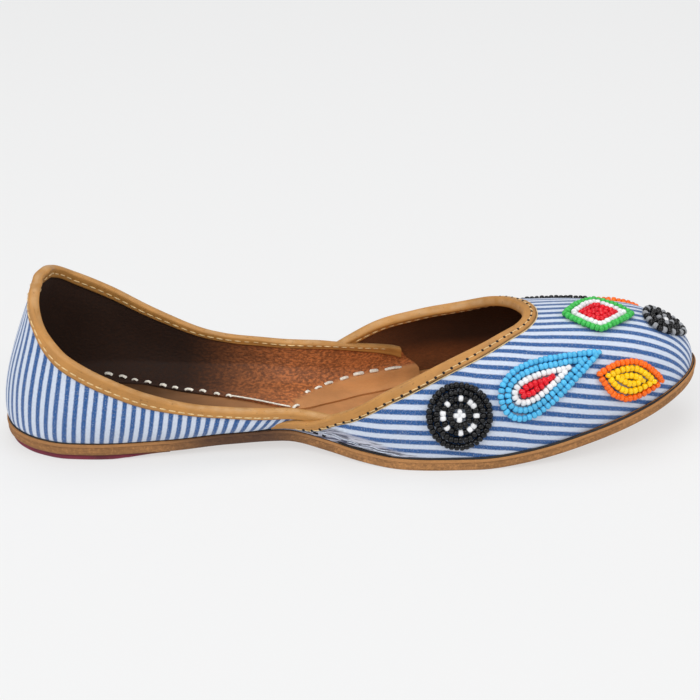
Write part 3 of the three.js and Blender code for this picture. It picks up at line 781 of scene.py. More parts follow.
def striped_cloth(name):
    """Plain-weave cotton with blue and white stripes: lay is across them, along them, and 1 where soiled."""
    material, root = material_tree(name)
    lay = laid(root)
    spot = placed(root)
    across = lay.part(0)
    along = lay.part(1)
    pitch = sizes().stripe_pitch * 1000
    half = sizes().stripe_share / 2
    flat = lay.stretch(1, 1, 0)
    waver = (flat.stretch(0.5, 0.12, 1).noise(1.0, 2.0) - 0.5) * 0.10
    yarn = (flat.stretch(5.0, 1.2, 1).noise(1.0, 2.0) - 0.5) * 0.16
    place = across / pitch + waver + yarn
    off = abs(place.math("FRACT", place) - 0.5)
    blue = 1 - off.band(half - 0.075, half + 0.075)
    fleck = flat.stretch(2.6, 0.9, 1).noise(1.0, 4.0, 0.65)
    slub = flat.stretch(1.5, 2.4, 1).noise(1.0, 3.0, 0.6)
    base = colours()
    deep = fleck.band(0.34, 0.62).mix(tint(base.stripe_blue, 0.72), tint(base.stripe_blue, 1.25))
    deep = (slub.band(0.53, 0.66) * 0.5).mix(deep, tint(base.stripe_white, 0.62))
    pale = fleck.band(0.30, 0.70).mix(tint(base.stripe_white, 0.90), tint(base.stripe_white, 1.03))
    pale = (slub.band(0.57, 0.72) * 0.28).mix(pale, tint(base.stripe_blue, 2.6))
    colour = blue.mix(pale, deep)
    soil = spot.noise(55.0, 3.0)
    colour = (soil.band(0.56, 0.78) * 0.10).mix(colour, (0.42, 0.40, 0.38, 1))
    streak = spot.stretch(110.0, 110.0, 1300.0).noise(1.0, 4.0, 0.6)
    grimy = streak.band(0.44, 0.54).mix(tint(srgb(70, 66, 80)), tint(srgb(186, 186, 198)))
    colour = (lay.part(2) * 0.85).mix(colour, grimy)
    weave = across.wave(WARP_PITCH) * along.wave(WEFT_PITCH) * 0.5 + fleck * 0.8
    normal = weave.bump(0.55, 0.07)
    normal = spot.noise(160.0, 2.0).bump(0.25, 0.35, normal)
    roughness = 0.80 + fleck * 0.14
    close_material(root, colour, roughness, normal, Sheen_Weight=0.25, Sheen_Roughness=0.5)
    return material


def binding_leather(name):
    """Tan strap leather: lay is along the strip, across it, and from 0 to 1 across."""
    material, root = material_tree(name)
    lay = laid(root)
    spot = placed(root)
    base = colours().binding
    cloudy = spot.noise(95.0, 4.0, 0.6)
    streak = lay.stretch(0.10, 1.4, 1).noise(1.0, 3.0)
    colour = cloudy.tones(base, 0.84, 1.08)
    colour = (streak.band(0.52, 0.75) * 0.5).mix(colour, tint(base, 0.60))
    share_across = lay.part(2)
    # Darker at both edges of the strap: the cut edges' own tone, with painted contact shadow where the strap
    # meets the wall.
    edge_tone_and_shadow = 1 - share_across.band(0.02, 0.09) + share_across.band(0.93, 0.99)
    colour = (edge_tone_and_shadow.math("MINIMUM", edge_tone_and_shadow, 1.0) * 0.7).mix(colour, tint(base, 0.36))
    # Painted highlight: lighter along the crown of the fold, in cloudy patches.
    crown_highlight = 1 - abs(share_across - 0.52).band(0.02, 0.16)
    colour = (crown_highlight * spot.noise(240.0, 3.0).band(0.30, 0.75) * 0.30).mix(colour, tint((0.72, 0.52, 0.30)))
    pit = spot.noise(700.0, 2.0).band(0.64, 0.72)
    colour = (pit * 0.5).mix(colour, tint(base, 0.42))
    grain = spot.cells(1900.0)
    normal = grain.bump(0.35, 0.06)
    normal = spot.noise(420.0, 3.0).bump(0.20, 0.10, normal)
    roughness = 0.40 + cloudy * 0.26 + pit * 0.1
    close_material(root, colour, roughness, normal, Specular_IOR_Level=0.45)
    return material


def lining_leather(name):
    """Brown lining leather: lay X is 1 in the vamp, and Z where it is turned in and rubbed smooth."""
    material, root = material_tree(name)
    spot = placed(root)
    lay = laid(root)
    turned = lay.part(2)
    base = colours().lining
    cloudy = spot.noise(60.0, 4.0)
    wrinkle = spot.stretch(780.0, 780.0, 1600.0).noise(1.0, 3.0, 0.55)
    pebble = spot.stretch(1.0, 1.0, 1.6).cells(1150.0)
    grained = 1 - lay.part(0) * 0.75
    colour = cloudy.tones(base, 0.80, 1.14)
    # Lighter on the wrinkles and darker between them: the grain's own tone, with painted highlights and
    # painted shade on its relief.
    colour = (wrinkle.band(0.47, 0.64) * grained * 0.72).mix(colour, tint(base, 1.9))
    colour = ((1 - wrinkle.band(0.34, 0.49)) * grained * 0.68).mix(colour, tint(base, 0.42))
    rubbed = cloudy.tones(colours().insole, 0.78, 1.12)
    colour = turned.mix(colour, rubbed)
    # Painted shade: the lining turns near black towards the heel and inside the vamp, less so low at its foot
    # and on the turned-in part.
    heel = (1 - spot.part(0).band(*LINING_HEEL_SHADE)) * 0.97
    foot = 1 - spot.part(2).band(*LINING_SHADE_FOOT)
    toe = lay.part(0) * (0.70 + spot.part(0).band(*LINING_TOE_SHADE) * 0.24) * (1 - foot * 0.55)
    deep = heel.math("MAXIMUM", heel, toe) * (1 - turned * 0.35)
    colour = deep.mix(colour, tint(base, 0.04))
    normal = (wrinkle * (1 - turned * 0.7)).bump(0.8, 0.34)
    normal = pebble.bump(0.30, 0.14, normal)
    roughness = 0.46 + wrinkle * 0.22 + deep * 0.25
    close_material(root, colour, roughness, normal, Specular_IOR_Level=0.4)
    return material


def insole_leather(name):
    """Smooth tan insole leather with rubbed streaks, and painted shade towards the heel."""
    material, root = material_tree(name)
    spot = placed(root)
    base = colours().insole
    cloudy = spot.noise(42.0, 4.0)
    rubbed = spot.stretch(60.0, 420.0, 300.0).noise(1.0, 3.0)
    colour = cloudy.band(0.28, 0.74).mix(tint(base, 0.76), tint(base, 1.20))
    colour = (rubbed.band(0.50, 0.74) * 0.35).mix(colour, tint(base, 0.60))
    # Painted shade: the insole turns near black towards the heel.
    heel = 1 - spot.part(0).band(*INSOLE_HEEL_SHADE)
    colour = (heel * 0.92).mix(colour, tint(base, 0.08))
    normal = spot.noise(900.0, 3.0).bump(0.25, 0.10)
    roughness = 0.40 + cloudy * 0.22
    close_material(root, colour, roughness, normal, Specular_IOR_Level=0.45)
    return material


def sole_leather(name):
    """Cut sole leather: lay is along the edge, down from the top, and 1 on the underside."""
    material, root = material_tree(name)
    lay = laid(root)
    spot = placed(root)
    base = colours().sole
    fibre = lay.stretch(0.30, 3.2, 1).noise(1.0, 5.0, 0.68)
    cloudy = spot.noise(70.0, 4.0)
    layer = lay.stretch(0.10, 0.9, 1).noise(1.0, 4.0, 0.7)
    mottle = spot.noise(330.0, 4.0, 0.7)
    nap = spot.noise(1000.0, 4.0, 0.72)
    colour = cloudy.tones(base, 0.74, 1.16)
    colour = (layer.band(0.48, 0.62) * 0.75).mix(colour, tint(base, 0.55))
    colour = (mottle.band(0.52, 0.66) * 0.7).mix(colour, tint(base, 1.35))
    colour = (fibre.band(0.50, 0.66) * 0.6).mix(colour, tint(base, 0.52))
    colour = ((1 - fibre.band(0.28, 0.42)) * 0.5).mix(colour, tint(base, 1.40))
    colour = (nap.band(0.50, 0.61) * 0.55).mix(colour, tint(base, 0.60))
    colour = ((1 - nap.band(0.37, 0.46)) * 0.55).mix(colour, tint(base, 1.55))
    down = lay.part(1)
    rand = 1 - down.band(*RAND_END)
    colour = (rand * 0.65).mix(colour, tint(base, 1.30))
    groove = 1 - abs(down - GROOVE).band(0.03, 0.17)
    colour = (groove * 0.7).mix(colour, tint(base, 0.34))
    foot = down.band(*SOLE_FOOT)
    colour = (foot * 0.6).mix(colour, tint(base, 0.45))
    x = spot.part(0)
    waist = x.band(*WAIST_START) * (1 - x.band(*WAIST_END))
    heel = 1 - x.band(*SOLE_HEEL)
    colour = (heel * 0.35).mix(colour, tint(base, 0.55))
    colour = (waist * (0.72 + cloudy * 0.25)).mix(colour, tint(colours().waist))
    colour = (waist * fibre.band(0.52, 0.70) * 0.5).mix(colour, tint(colours().waist, 0.45))
    under = lay.part(2)
    scuff = spot.stretch(60.0, 240.0, 1.0).noise(1.0, 5.0, 0.7)
    tread = scuff.band(0.42, 0.66).mix(tint(base, 0.55), tint(base, 0.92))
    colour = under.mix(colour, tread)
    normal = fibre.bump(0.5, 0.22)
    normal = nap.bump(0.40, 0.20, normal)
    roughness = 0.72 - waist * 0.16 + fibre * 0.12
    close_material(root, colour, roughness, normal, Specular_IOR_Level=0.4)
    return material


def lift_leather(name):
    """Maroon-dyed leather under the heel, scuffed to the tan below."""
    material, root = material_tree(name)
    spot = placed(root)
    base = colours().lift
    cloudy = spot.noise(120.0, 4.0)
    colour = cloudy.tones(base, 0.65, 1.25)
    scuff = spot.noise(420.0, 5.0, 0.7)
    colour = (scuff.band(0.60, 0.72) * 0.6).mix(colour, tint(colours().sole, 0.6))
    front = spot.part(0).band(*LIFT_FRONT)
    colour = front.mix(colour, tint(colours().sole, 0.62))
    normal = scuff.bump(0.4, 0.2)
    close_material(root, colour, 0.62 + cloudy * 0.2, normal)
    return material


def spun_thread(name, colour, roughness=0.75):
    """Twisted thread."""
    material, root = material_tree(name)
    spot = placed(root)
    strand = spot.noise(1500.0, 3.0)
    shade = strand.band(0.30, 0.70).mix(tint(colour, 0.72), tint(colour, 1.12))
    normal = strand.bump(0.5, 0.12)
    close_material(root, shade, roughness + strand * 0.1, normal, Sheen_Weight=0.2)
    return material


def dark_finish(name, colour, roughness):
    """Near-black: the line over the sole, and painted shade in needle holes and gaps."""
    material, root = material_tree(name)
    cloudy = placed(root).noise(500.0, 2.0)
    shade = cloudy.band(0.35, 0.70).mix(tint(colour, 0.8), tint(colour, 2.2))
    close_material(root, shade, roughness + cloudy * 0.15)
    return material


def glass_beads(name):
    """Opaque glass beads, each with its own colour."""
    material, root = material_tree(name)
    own = laid(root, "tint")
    cloudy = placed(root).noise(900.0, 2.0)
    dusty = (cloudy.band(0.35, 0.80) * 0.03).mix(own, (0.5, 0.5, 0.5, 1))
    close_material(root, dusty, 0.10 + cloudy * 0.08, Specular_IOR_Level=0.3)
    return material


# Geometry Nodes for what repeats.

class Tree:
    """A Geometry Nodes tree with named inputs."""

    def __init__(self, name, *inputs):
        self.tree = bpy.data.node_groups.new(name, "GeometryNodeTree")
        side = self.tree.interface
        side.new_socket("Points", in_out="INPUT", socket_type="NodeSocketGeometry")
        for key in inputs:
            side.new_socket(key, in_out="INPUT", socket_type="NodeSocketFloat")
        side.new_socket("Material", in_out="INPUT", socket_type="NodeSocketMaterial")
        side.new_socket("Result", in_out="OUTPUT", socket_type="NodeSocketGeometry")
        self.given = self.tree.nodes.new("NodeGroupInput")

    def node(self, kind, settings=None, sockets=None, out=0):
        made = self.tree.nodes.new(kind)
        for key, value in (settings or {}).items():
            setattr(made, key, value)
        for key, value in (sockets or {}).items():
            if isinstance(value, bpy.types.NodeSocket):
                self.tree.links.new(value, made.inputs[key])
            else:
                made.inputs[key].default_value = value
        return made.outputs[out]

    def take(self, key):
        return self.given.outputs[key]

    def times(self, value, factor):
        return self.node("ShaderNodeMath", {"operation": "MULTIPLY"}, {0: value, 1: factor})

    def vector(self, x=0.0, y=0.0, z=0.0):
        return self.node("ShaderNodeCombineXYZ", None, {0: x, 1: y, 2: z})

    def named(self, key):
        vector = {"data_type": "FLOAT_VECTOR"}
        return self.node("GeometryNodeInputNamedAttribute", vector, {"Name": key})

    def place(self, shape):
        """Sets the shape on each point, X along the row and Z off the surface, and closes the tree."""
        axes = {"primary_axis": "Z", "secondary_axis": "X"}
        turn = {0: self.named("off"), 1: self.named("row")}
        turned = self.node("FunctionNodeAxesToRotation", axes, turn)
        sized = {"Points": self.take("Points"), "Instance": shape, "Rotation": turned}
        sized["Scale"] = self.named("grow")
        set_out = self.node("GeometryNodeInstanceOnPoints", None, sized)
        solid = self.node("GeometryNodeRealizeInstances", None, {0: set_out})
        smooth = self.node("GeometryNodeSetShadeSmooth", None, {0: solid})
        dressed = self.node("GeometryNodeSetMaterial", None, {0: smooth, "Material": self.take("Material")})
        result = self.tree.nodes.new("NodeGroupOutput")
        self.tree.links.new(dressed, result.inputs[0])
        return self.tree


# Barrel of a bead: how far a ball is drawn out and cut off, power that squares its side, least radius.
BEAD_DRAW = 1.15
BEAD_CUT = 0.98
BEAD_SQUARE = -0.55
BEAD_CORE = 1e-4


def bead_tree():
    """Barrel-shaped beads with flat ends, each lying along its row."""
    tree = Tree("bead_rows", "Length", "Width")
    ball = tree.node("GeometryNodeMeshUVSphere", None, {"Segments": 9, "Rings": 6, "Radius": 1.0})
    where = tree.node("GeometryNodeInputPosition")
    parts = [tree.node("ShaderNodeSeparateXYZ", None, {0: where}, k) for k in range(3)]
    drawn = {"Value": tree.times(parts[2], BEAD_DRAW), "Min": -BEAD_CUT, "Max": BEAD_CUT}
    held = tree.node("ShaderNodeClamp", None, drawn)
    long = tree.times(held, tree.times(tree.take("Length"), 0.5))
    level = tree.node("ShaderNodeVectorMath", {"operation": "MULTIPLY"}, {0: where, 1: (1.0, 1.0, 0.0)})
    radius = tree.node("ShaderNodeVectorMath", {"operation": "LENGTH"}, {0: level}, 1)
    held_radius = tree.node("ShaderNodeMath", {"operation": "MAXIMUM"}, {0: radius, 1: BEAD_CORE})
    barrel = tree.node("ShaderNodeMath", {"operation": "POWER"}, {0: held_radius, 1: BEAD_SQUARE})
    wide = tree.times(tree.times(tree.take("Width"), 0.5), barrel)
    moved = tree.vector(long, tree.times(parts[0], wide), tree.times(parts[1], wide))
    shape = tree.node("GeometryNodeSetPosition", None, {"Geometry": ball, "Position": moved})
    return tree.place(shape)


def stitch_tree():
    """Stitches that rise from one needle hole and go down in the next."""
    tree = Tree("stitch_row", "Length", "Width")
    half = tree.times(tree.take("Length"), 0.5)
    deep = tree.times(tree.take("Width"), -0.55)
    high = tree.times(tree.take("Width"), 0.75)
    ends = {"Resolution": 6, "Start": tree.vector(tree.times(half, -1.0), 0.0, deep),
            "Middle": tree.vector(0.0, 0.0, high), "End": tree.vector(half, 0.0, deep)}
    line = tree.node("GeometryNodeCurveQuadraticBezier", None, ends)
    ring = {"Resolution": 6, "Radius": tree.times(tree.take("Width"), 0.5)}
    round_thread = tree.node("GeometryNodeCurvePrimitiveCircle", None, ring)
    tube = {"Curve": line, "Profile Curve": round_thread, "Fill Caps": True}
    return tree.place(tree.node("GeometryNodeCurveToMesh", None, tube))


def hole_tree():
    """Needle holes: small cups with a rounded rim, dark with painted shade."""
    tree = Tree("needle_holes", "Width")
    cup = {"Vertices": 9, "Radius Top": tree.times(tree.take("Width"), 0.34),
           "Radius Bottom": tree.times(tree.take("Width"), 0.5), "Depth": tree.times(tree.take("Width"), 0.2)}
    return tree.place(tree.node("GeometryNodeMeshCone", None, cup))


def spread(name, tree, points, row, off, material, values, tints=None, grow=None):
    """Runs a tree on points in millimetres and returns the result as a plain mesh object."""
    points = np.asarray(points, float)
    grow = np.ones((len(points), 3)) if grow is None else np.asarray(grow, float)
    attributes = {"row": unit(np.asarray(row, float)), "off": unit(np.asarray(off, float)), "grow": grow}
    if tints is not None:
        attributes["tint"] = tints
    seed = add_object(name + "_points", points, [], attributes, sharp=0)
    modifier = seed.modifiers.new("rows", "NODES")
    modifier.node_group = tree
    given = {**values, "Material": material}
    for item in tree.interface.items_tree:
        if item.in_out == "INPUT" and item.name in given:
            modifier[item.identifier] = given[item.name]
    bpy.context.view_layer.update()
    evaluated = seed.evaluated_get(bpy.context.evaluated_depsgraph_get())
    mesh = bpy.data.meshes.new_from_object(evaluated)
    mesh.name = name
    bpy.data.objects.remove(seed)
    made = bpy.data.objects.new(name, mesh)
    bpy.context.scene.collection.objects.link(made)
    return made


# Sole.

# Sections along the sole, the lift and the line over the sole.
SOLE_SECTIONS = 181
LIFT_SECTIONS = 50
LINE_SECTIONS = 160

# Columns across the sole, the insole and the lift.
SOLE_ACROSS = 10
INSOLE_ACROSS = 14
LIFT_ACROSS = 8

# Black line over the sole: inset, height, radius, X from and to which the radius changes and by how much.
LINE_INSET = WELT - 0.15
LINE_HEIGHT = 0.22
LINE_RADIUS = 0.36
LINE_CHANGES = ((105.0, 150.0, 0.10), (218.0, 240.0, -0.24))


def edge_sections(table, count):
    """The same edge at each of a number of sections."""
    return np.repeat(np.array(table)[None], count, axis=0)


def plate(edge_rows, top, angles, across):
    """Sections of a plate that follows the sole: depth and inset of its edge, with a lay for each point."""
    sections = []
    lays = []
    for side in (-1.0, 1.0):
        rim = np.array([inset_plan(angles, side, edge_rows[:, k, 1]) for k in range(edge_rows.shape[1])])
        rim = rim.transpose(1, 0, 2)
        z = top(rim[..., 0]) - edge_rows[..., 0]
        sections.append(np.concatenate([rim, z[..., None]], axis=-1))
        arc = arc_along(sole_plan(angles, side)) * side
        lays.append(stack(arc[:, None], edge_rows[..., 0], 0.0))
    near, far = sections
    ways = np.linspace(0, 1, across + 1)[1:-1][None, :, None]
    under = near[:, -1:] + (far[:, -1:] - near[:, -1:]) * ways
    over = far[:, :1] + (near[:, :1] - far[:, :1]) * ways
    under[..., 2] = top(under[..., 0]) - edge_rows[:, -1:, 0]
    over[..., 2] = top(over[..., 0]) - edge_rows[:, :1, 0]
    flat_under = stack(under[..., 0], edge_rows[:, -1:, 0], 1.0)
    flat_over = stack(over[..., 0], edge_rows[:, :1, 0], 0.0)
    points = np.concatenate([near, under, far[:, ::-1], over], axis=1)
    lay = np.concatenate([lays[0], flat_under, lays[1][:, ::-1], flat_over], axis=1)
    return points, lay


def add_sections(name, points, lay, start=False, end=False):
    """Object through a row of closed sections, with a face over its start and its end where they are open."""
    sections, size = points.shape[:2]
    faces = grid_faces(size, sections, around=True)
    order = faces % sections * size + faces // sections
    faces = [tuple(face) for face in order]
    if start:
        faces.append(tuple(range(size)))
    if end:
        faces.append(tuple((sections - 1) * size + k for k in range(size - 1, -1, -1)))
    made = add_object(name, points.reshape(-1, 3), faces, {"lay": lay.reshape(-1, 3)}, sharp=0)
    tidy_mesh(made.data)
    return made


def tidy_mesh(mesh):
    """Merges what meets in a point at the heel and toe, and turns all faces outwards."""
    work = bmesh.new()
    work.from_mesh(mesh)
    bmesh.ops.remove_doubles(work, verts=work.verts, dist=MERGE_POINTS)
    bmesh.ops.dissolve_degenerate(work, edges=work.edges, dist=MERGE_EDGES)
    bmesh.ops.recalc_face_normals(work, faces=work.faces)
    work.to_mesh(mesh)
    work.free()
    mesh.shade_smooth()
    mesh.set_sharp_from_angle(angle=math.radians(SHARP_FOLD))


class JUTTI_OT_sole(bpy.types.Operator):
    """Makes the outsole, the lift under its heel, the insole and the black line over the sole"""

    bl_idname = "jutti.sole"
    bl_label = "Sole"

    def execute(self, context):
        angles = np.linspace(0, math.pi, SOLE_SECTIONS)
        self.outsole(angles)
        self.insole(angles)
        self.heel_lift()
        self.feather_line()
        return {"FINISHED"}

    def outsole(self, angles):
        edge = edge_sections(SOLE_EDGE, len(angles))
        stations = stack(LENGTH * share(angles), 0 * angles, 0 * angles)
        edge[..., 1] += ripple(stations, size=26.0, depth=0.07, seed=3)[:, None]
        edge[..., 1] = np.maximum(edge[..., 1], 0)
        made = add_sections("outsole_leather", *plate(edge, sole_top, angles, SOLE_ACROSS))
        settle(made, sole_leather("cut_sole_leather"), "sole_leather", "outsole")

    def insole(self, angles):
        edge = edge_sections(INSOLE_EDGE, len(angles))
        edge[..., 1] += insole_inset(share(angles))[:, None]
        made = add_sections("insole_sock", *plate(edge, insole_top, angles, INSOLE_ACROSS))
        settle(made, insole_leather("smooth_insole"), "insole_leather", "insole")

    def heel_lift(self):
        steps = np.linspace(0, 1, LIFT_SECTIONS)
        angles = sweep(LIFT_LENGTH / LENGTH) * steps
        skive = LIFT_SKIVE * ease(LIFT_SKIVE_START, 1.0, steps)
        edge = edge_sections(LIFT_EDGE, len(angles))
        edge[..., 0] = np.minimum(edge[..., 0], LIFT_THICKNESS - skive[:, None])
        edge[..., 1] += LIFT_INSET
        points, lay = plate(edge, lambda x: np.full_like(x, LIFT_THICKNESS), angles, LIFT_ACROSS)
        made = add_sections("lift_leather", points, lay, end=True)
        settle(made, lift_leather("dyed_lift"), "lift_leather", "heel_lift")

    def feather_line(self):
        angles = np.linspace(0, math.pi, LINE_SECTIONS)
        near, far = [inset_plan(angles, side, np.full_like(angles, LINE_INSET)) for side in (-1.0, 1.0)]
        x, y = np.concatenate([near, far[-2::-1]]).T
        path = stack(x, y, sole_top(x) + LINE_HEIGHT)
        radius = LINE_RADIUS + sum(change * ease(start, end, x) for start, end, change in LINE_CHANGES)
        made = add_tubes("feather_line", [path], radius, sides=8)
        settle(made, dark_finish("black_feather_line", colours().black, 0.5), "sole_leather")


# Upper.

# Table of arcs round the last: X of its ends, counts along and round.
GIRTH_START = VAMP_TAIL - 8
GIRTH_END = LENGTH - TOE_WELT - 0.02
GIRTH_STATIONS = 320
GIRTH_TURNS = 241

# Keeps a place in the table short of its last row.
GIRTH_SLACK = 1.001

# Backs of the cloth and of its lining, off the wall's outer face.
CLOTH_BACK = CLOTH + 0.2
LINING_BACK = CLOTH + 0.25

# Share of a pucker's depth on the inner side, part of the wall under its edge where puckers fade.
INNER_PUCKER = 0.45
PUCKER_FADE = 0.25

# Lining turned in over the insole: where its bend starts up the wall, and the shares of the wall it may take.
TURN_HEIGHT = 6.5
TURN_SHARE = (0.12, 0.75)

# Its corner off the wall, its thickness and gap to the insole, how much its cut edge thins and from where.
TURN_CORNER = 0.6
TURN_THICK = 0.95
TURN_GAP = 0.05
TURN_LIP = 0.35
LIP_START = 0.75

# Reach of its bend, then its widths: the least, the least on the inner side, on the outer side, at the heel.
TURN_REACH = 3.2
TURN_LEAST = 3.6
TURN_INNER_LEAST = 4.5
TURN_OUTER = 7.0
TURN_HEEL = 5.0

# X over which it leaves the heel's width, and over which it turns from square to the edge to straight across.
TURN_PAST_HEEL = (0.0, 14.0)
TURN_STRAIGHT = (8.0, 34.0)

# Rows of its bend and of its flat part.
BEND_ROWS = 8
FLAT_ROWS = 9

# Y past which the turned-in part is rubbed smooth, rows over which that starts.
RUBBED_FROM = -12.0
RUBBED_EDGE = 0.6

# Arc from the crest over which the stripes are shifted, height over which the soiled cloth fades.
SHIFT_REACH = (5.0, 30.0)
SOIL_FADE = 0.5


def girth_table():
    """Arc from the crest round the last, by station and turn."""
    xs = np.linspace(GIRTH_START, GIRTH_END, GIRTH_STATIONS)
    turns = np.linspace(-math.pi / 2, math.pi / 2, GIRTH_TURNS)
    points = last_point(xs[:, None], turns[None, :])
    steps = np.linalg.norm(np.diff(points, axis=1), axis=-1)
    arc = np.concatenate([np.zeros((len(xs), 1)), np.cumsum(steps, axis=1)], axis=1)
    return xs, turns, arc - arc[:, GIRTH_TURNS // 2, None]


def girth_at(table, x, turn):
    xs, turns, arc = table
    a = np.clip((x - xs[0]) / (xs[1] - xs[0]), 0, len(xs) - GIRTH_SLACK)
    b = np.clip((turn - turns[0]) / (turns[1] - turns[0]), 0, len(turns) - GIRTH_SLACK)
    i = a.astype(int)
    j = b.astype(int)
    s = a - i
    t = b - j
    low = arc[i, j] * (1 - t) + arc[i, j + 1] * t
    high = arc[i + 1, j] * (1 - t) + arc[i + 1, j + 1] * t
    return low * (1 - s) + high * s


def pucker(points):
    """Depth of the cloth's soft troughs and ridges over the waist."""
    x = points[..., 0]
    over = points[..., 2] - feather_z(x)
    total = np.zeros(x.shape)
    for middle, height, long, wide, depth, slope in PUCKERS:
        along = (x - middle) / long
        across = (over - height - slope * (middle - x)) / wide
        total = total + depth * np.exp(-along ** 2 - across ** 2)
    return total


def lining_face(u, depth):
    """Inner wall from the collar down, round into the part that is turned in over the insole."""
    wall_rows = np.linspace(1.0, 0.0, QUARTER.rows + 1)[None, :]
    tall = np.linalg.norm(quarter_face(u, 1.0) - quarter_face(u, 0.0), axis=-1)
    foot_v = np.clip(TURN_HEIGHT / np.maximum(tall, 1), *TURN_SHARE)
    v = foot_v + (1 - foot_v) * wall_rows
    slant = SLANT * ease(SLANT_START, 1.0, np.abs(u))
    forward = u * (1 + slant * (1 - v))
    wave = ripple(QUARTER.point(forward, v, -WALL), size=15.0, depth=0.10, seed=22)
    wall = QUARTER.point(forward, v, -WALL + wave + (WALL - LINING_BACK) * depth)
    angle = np.abs(u[:, 0]) * (1 + slant[:, 0]) * FRONT_SWEEP
    side = np.where(u[:, 0] < 0, -1.0, 1.0)
    foot_x = WELT + FEATHER_LENGTH * share(angle)
    corner = inset_plan(angle, side, np.full_like(angle, WELT + WALL + TURN_CORNER))
    inner_width = np.clip(corner[:, 1] - turn_in_edge(foot_x), TURN_INNER_LEAST, None)
    past_heel = ease(*TURN_PAST_HEEL, foot_x)
    width = np.where(side > 0, inner_width, TURN_OUTER) * past_heel + TURN_HEEL * (1 - past_heel)
    inward = -plan_normal(angle, side)
    straight = np.stack([0 * side, -side], axis=-1)
    weight = ease(*TURN_STRAIGHT, foot_x)[:, None]
    way = unit(inward * (1 - weight) + straight * weight)

    def rested(plan, x, thick):
        z = insole_top(x) + thick * (1 - depth) + TURN_GAP
        return np.concatenate([plan, z[:, None]], axis=-1)

    low = rested(corner, foot_x, TURN_THICK)
    end = corner + way * TURN_REACH
    end = rested(end, end[:, 0], TURN_THICK)
    rows = [wall]
    for t in np.linspace(0, 1, BEND_ROWS + 1)[1:]:
        bend = wall[:, -1] * (1 - t) ** 2 + 2 * t * (1 - t) * low + end * t ** 2
        rows.append(bend[:, None])
    for t in np.linspace(0, 1, FLAT_ROWS + 1)[1:]:
        plan = corner + way * (TURN_REACH + (np.maximum(width, TURN_LEAST) - TURN_REACH) * t)[:, None]
        rows.append(rested(plan, plan[:, 0], TURN_THICK - TURN_LIP * ease(LIP_START, 1.0, t))[:, None])
    return np.concatenate(rows, axis=1)


class JUTTI_OT_upper(bpy.types.Operator):
    """Makes the striped cloth and the leather lining of the vamp and the quarter"""

    bl_idname = "jutti.upper"
    bl_label = "Upper"

    def execute(self, context):
        cloth = striped_cloth("striped_cotton")
        lining = lining_leather("pebbled_lining")
        self.vamp(cloth, lining)
        self.quarter_cloth(cloth)
        self.quarter_lining(lining)
        return {"FINISHED"}

    def vamp(self, cloth, lining):
        u, v = VAMP.grid()
        x, turn = vamp_place(u, v)
        flat = VAMP.point(u, v, 0.0)
        lay = self.vamp_lay(x, turn, flat)
        soft = ripple(flat, size=30.0, depth=0.12, seed=11) * np.sin(math.pi * v) ** 0.5
        inward = pucker(flat) * np.where(flat[..., 1] < 0, 1.0, INNER_PUCKER) * ease(0.0, PUCKER_FADE, 1 - v)
        outer = VAMP.point(u, v, soft - inward)
        made = shell("vamp_cloth", outer, VAMP.point(u, v, -CLOTH_BACK), lay)
        settle(made, cloth, "striped_cloth", "upper")
        inner = VAMP.point(u, v, -WALL + ripple(flat, size=18.0, depth=0.10, seed=12))
        made = shell("vamp_lining", VAMP.point(u, v, -LINING_BACK), inner, stack(1.0, 0.0, 0 * x))
        settle(made, lining, "insole_leather", "upper")

    def vamp_lay(self, x, turn, points):
        arc = girth_at(girth_table(), x, turn)
        way = np.abs(arc)
        across = np.sign(arc) * (way - stripe_shift(x) * ease(*SHIFT_REACH, way))
        over = points[..., 2] - feather_z(x)
        worn = ease(-SOIL_FADE, SOIL_FADE, soiled(x) - over) * (points[..., 1] < 0)
        return stack(across, x, worn)

    def quarter_lay(self, u, points):
        foot = quarter_face(u, 0.0)[:, 0]
        middle = len(foot) // 2
        arc = arc_along(foot)
        arc = np.abs(arc - arc[middle])[:, None]
        over = points[..., 2] - feather_z(foot[:, 0])[:, None]
        across = arc - np.tan(np.radians(stripe_lean(arc))) * over
        across = across * sizes().stripe_pitch / sizes().heel_pitch
        return stack(across, over + 0 * across, 0.0)

    def quarter_cloth(self, cloth):
        u, v = QUARTER.grid()
        flat = QUARTER.point(u, v, 0.0)
        soft = ripple(flat, size=26.0, depth=0.14, seed=21) * np.sin(math.pi * v) ** 0.5
        outer = QUARTER.point(u, v, soft)
        lay = self.quarter_lay(u, flat)
        made = shell("quarter_cloth", outer, QUARTER.point(u, v, -CLOTH_BACK), lay, flip=True)
        settle(made, cloth, "striped_cloth", "upper")

    def quarter_lining(self, lining):
        u, _ = QUARTER.grid()
        front = lining_face(u, 0.0)
        back = lining_face(u, 1.0)
        start = turn_in_row(front[..., 0])
        smooth = ease(start - RUBBED_EDGE, start + RUBBED_EDGE, np.arange(front.shape[1]))
        turned = smooth * (front[..., 1] > RUBBED_FROM)
        made = shell("quarter_lining", back, front, stack(0.0, 0.0, turned), flip=True)
        tidy_mesh(made.data)
        settle(made, lining, "insole_leather", "upper")


# Bindings.

# Folded strap on the outer face and on the lining: share of the leg down, share of the skin's thickness.
OUTER_PROFILE = (
    (1.00, 0.10), (0.985, 0.55), (0.94, 0.86), (0.80, 0.98), (0.62, 1.02), (0.50, 1.10), (0.34, 1.24),
    (0.16, 1.26),
)
INNER_PROFILE = (
    (0.20, 1.16), (0.42, 1.05), (0.56, 0.85), (0.66, 0.95), (0.86, 0.90), (0.97, 0.55), (1.00, 0.10),
)

# Back of the strap on the wall: share of the leg down, offset off the wall, lift past its edge.
BACK_PROFILE = (
    (INNER_LEG, -WALL, 0.0), (0.3, -WALL, 0.0), (0.0, -WALL, 0.05), (0.0, 0.0, 0.05), (0.5, 0.0, 0.0),
    (1.0, 0.0, 0.0),
)

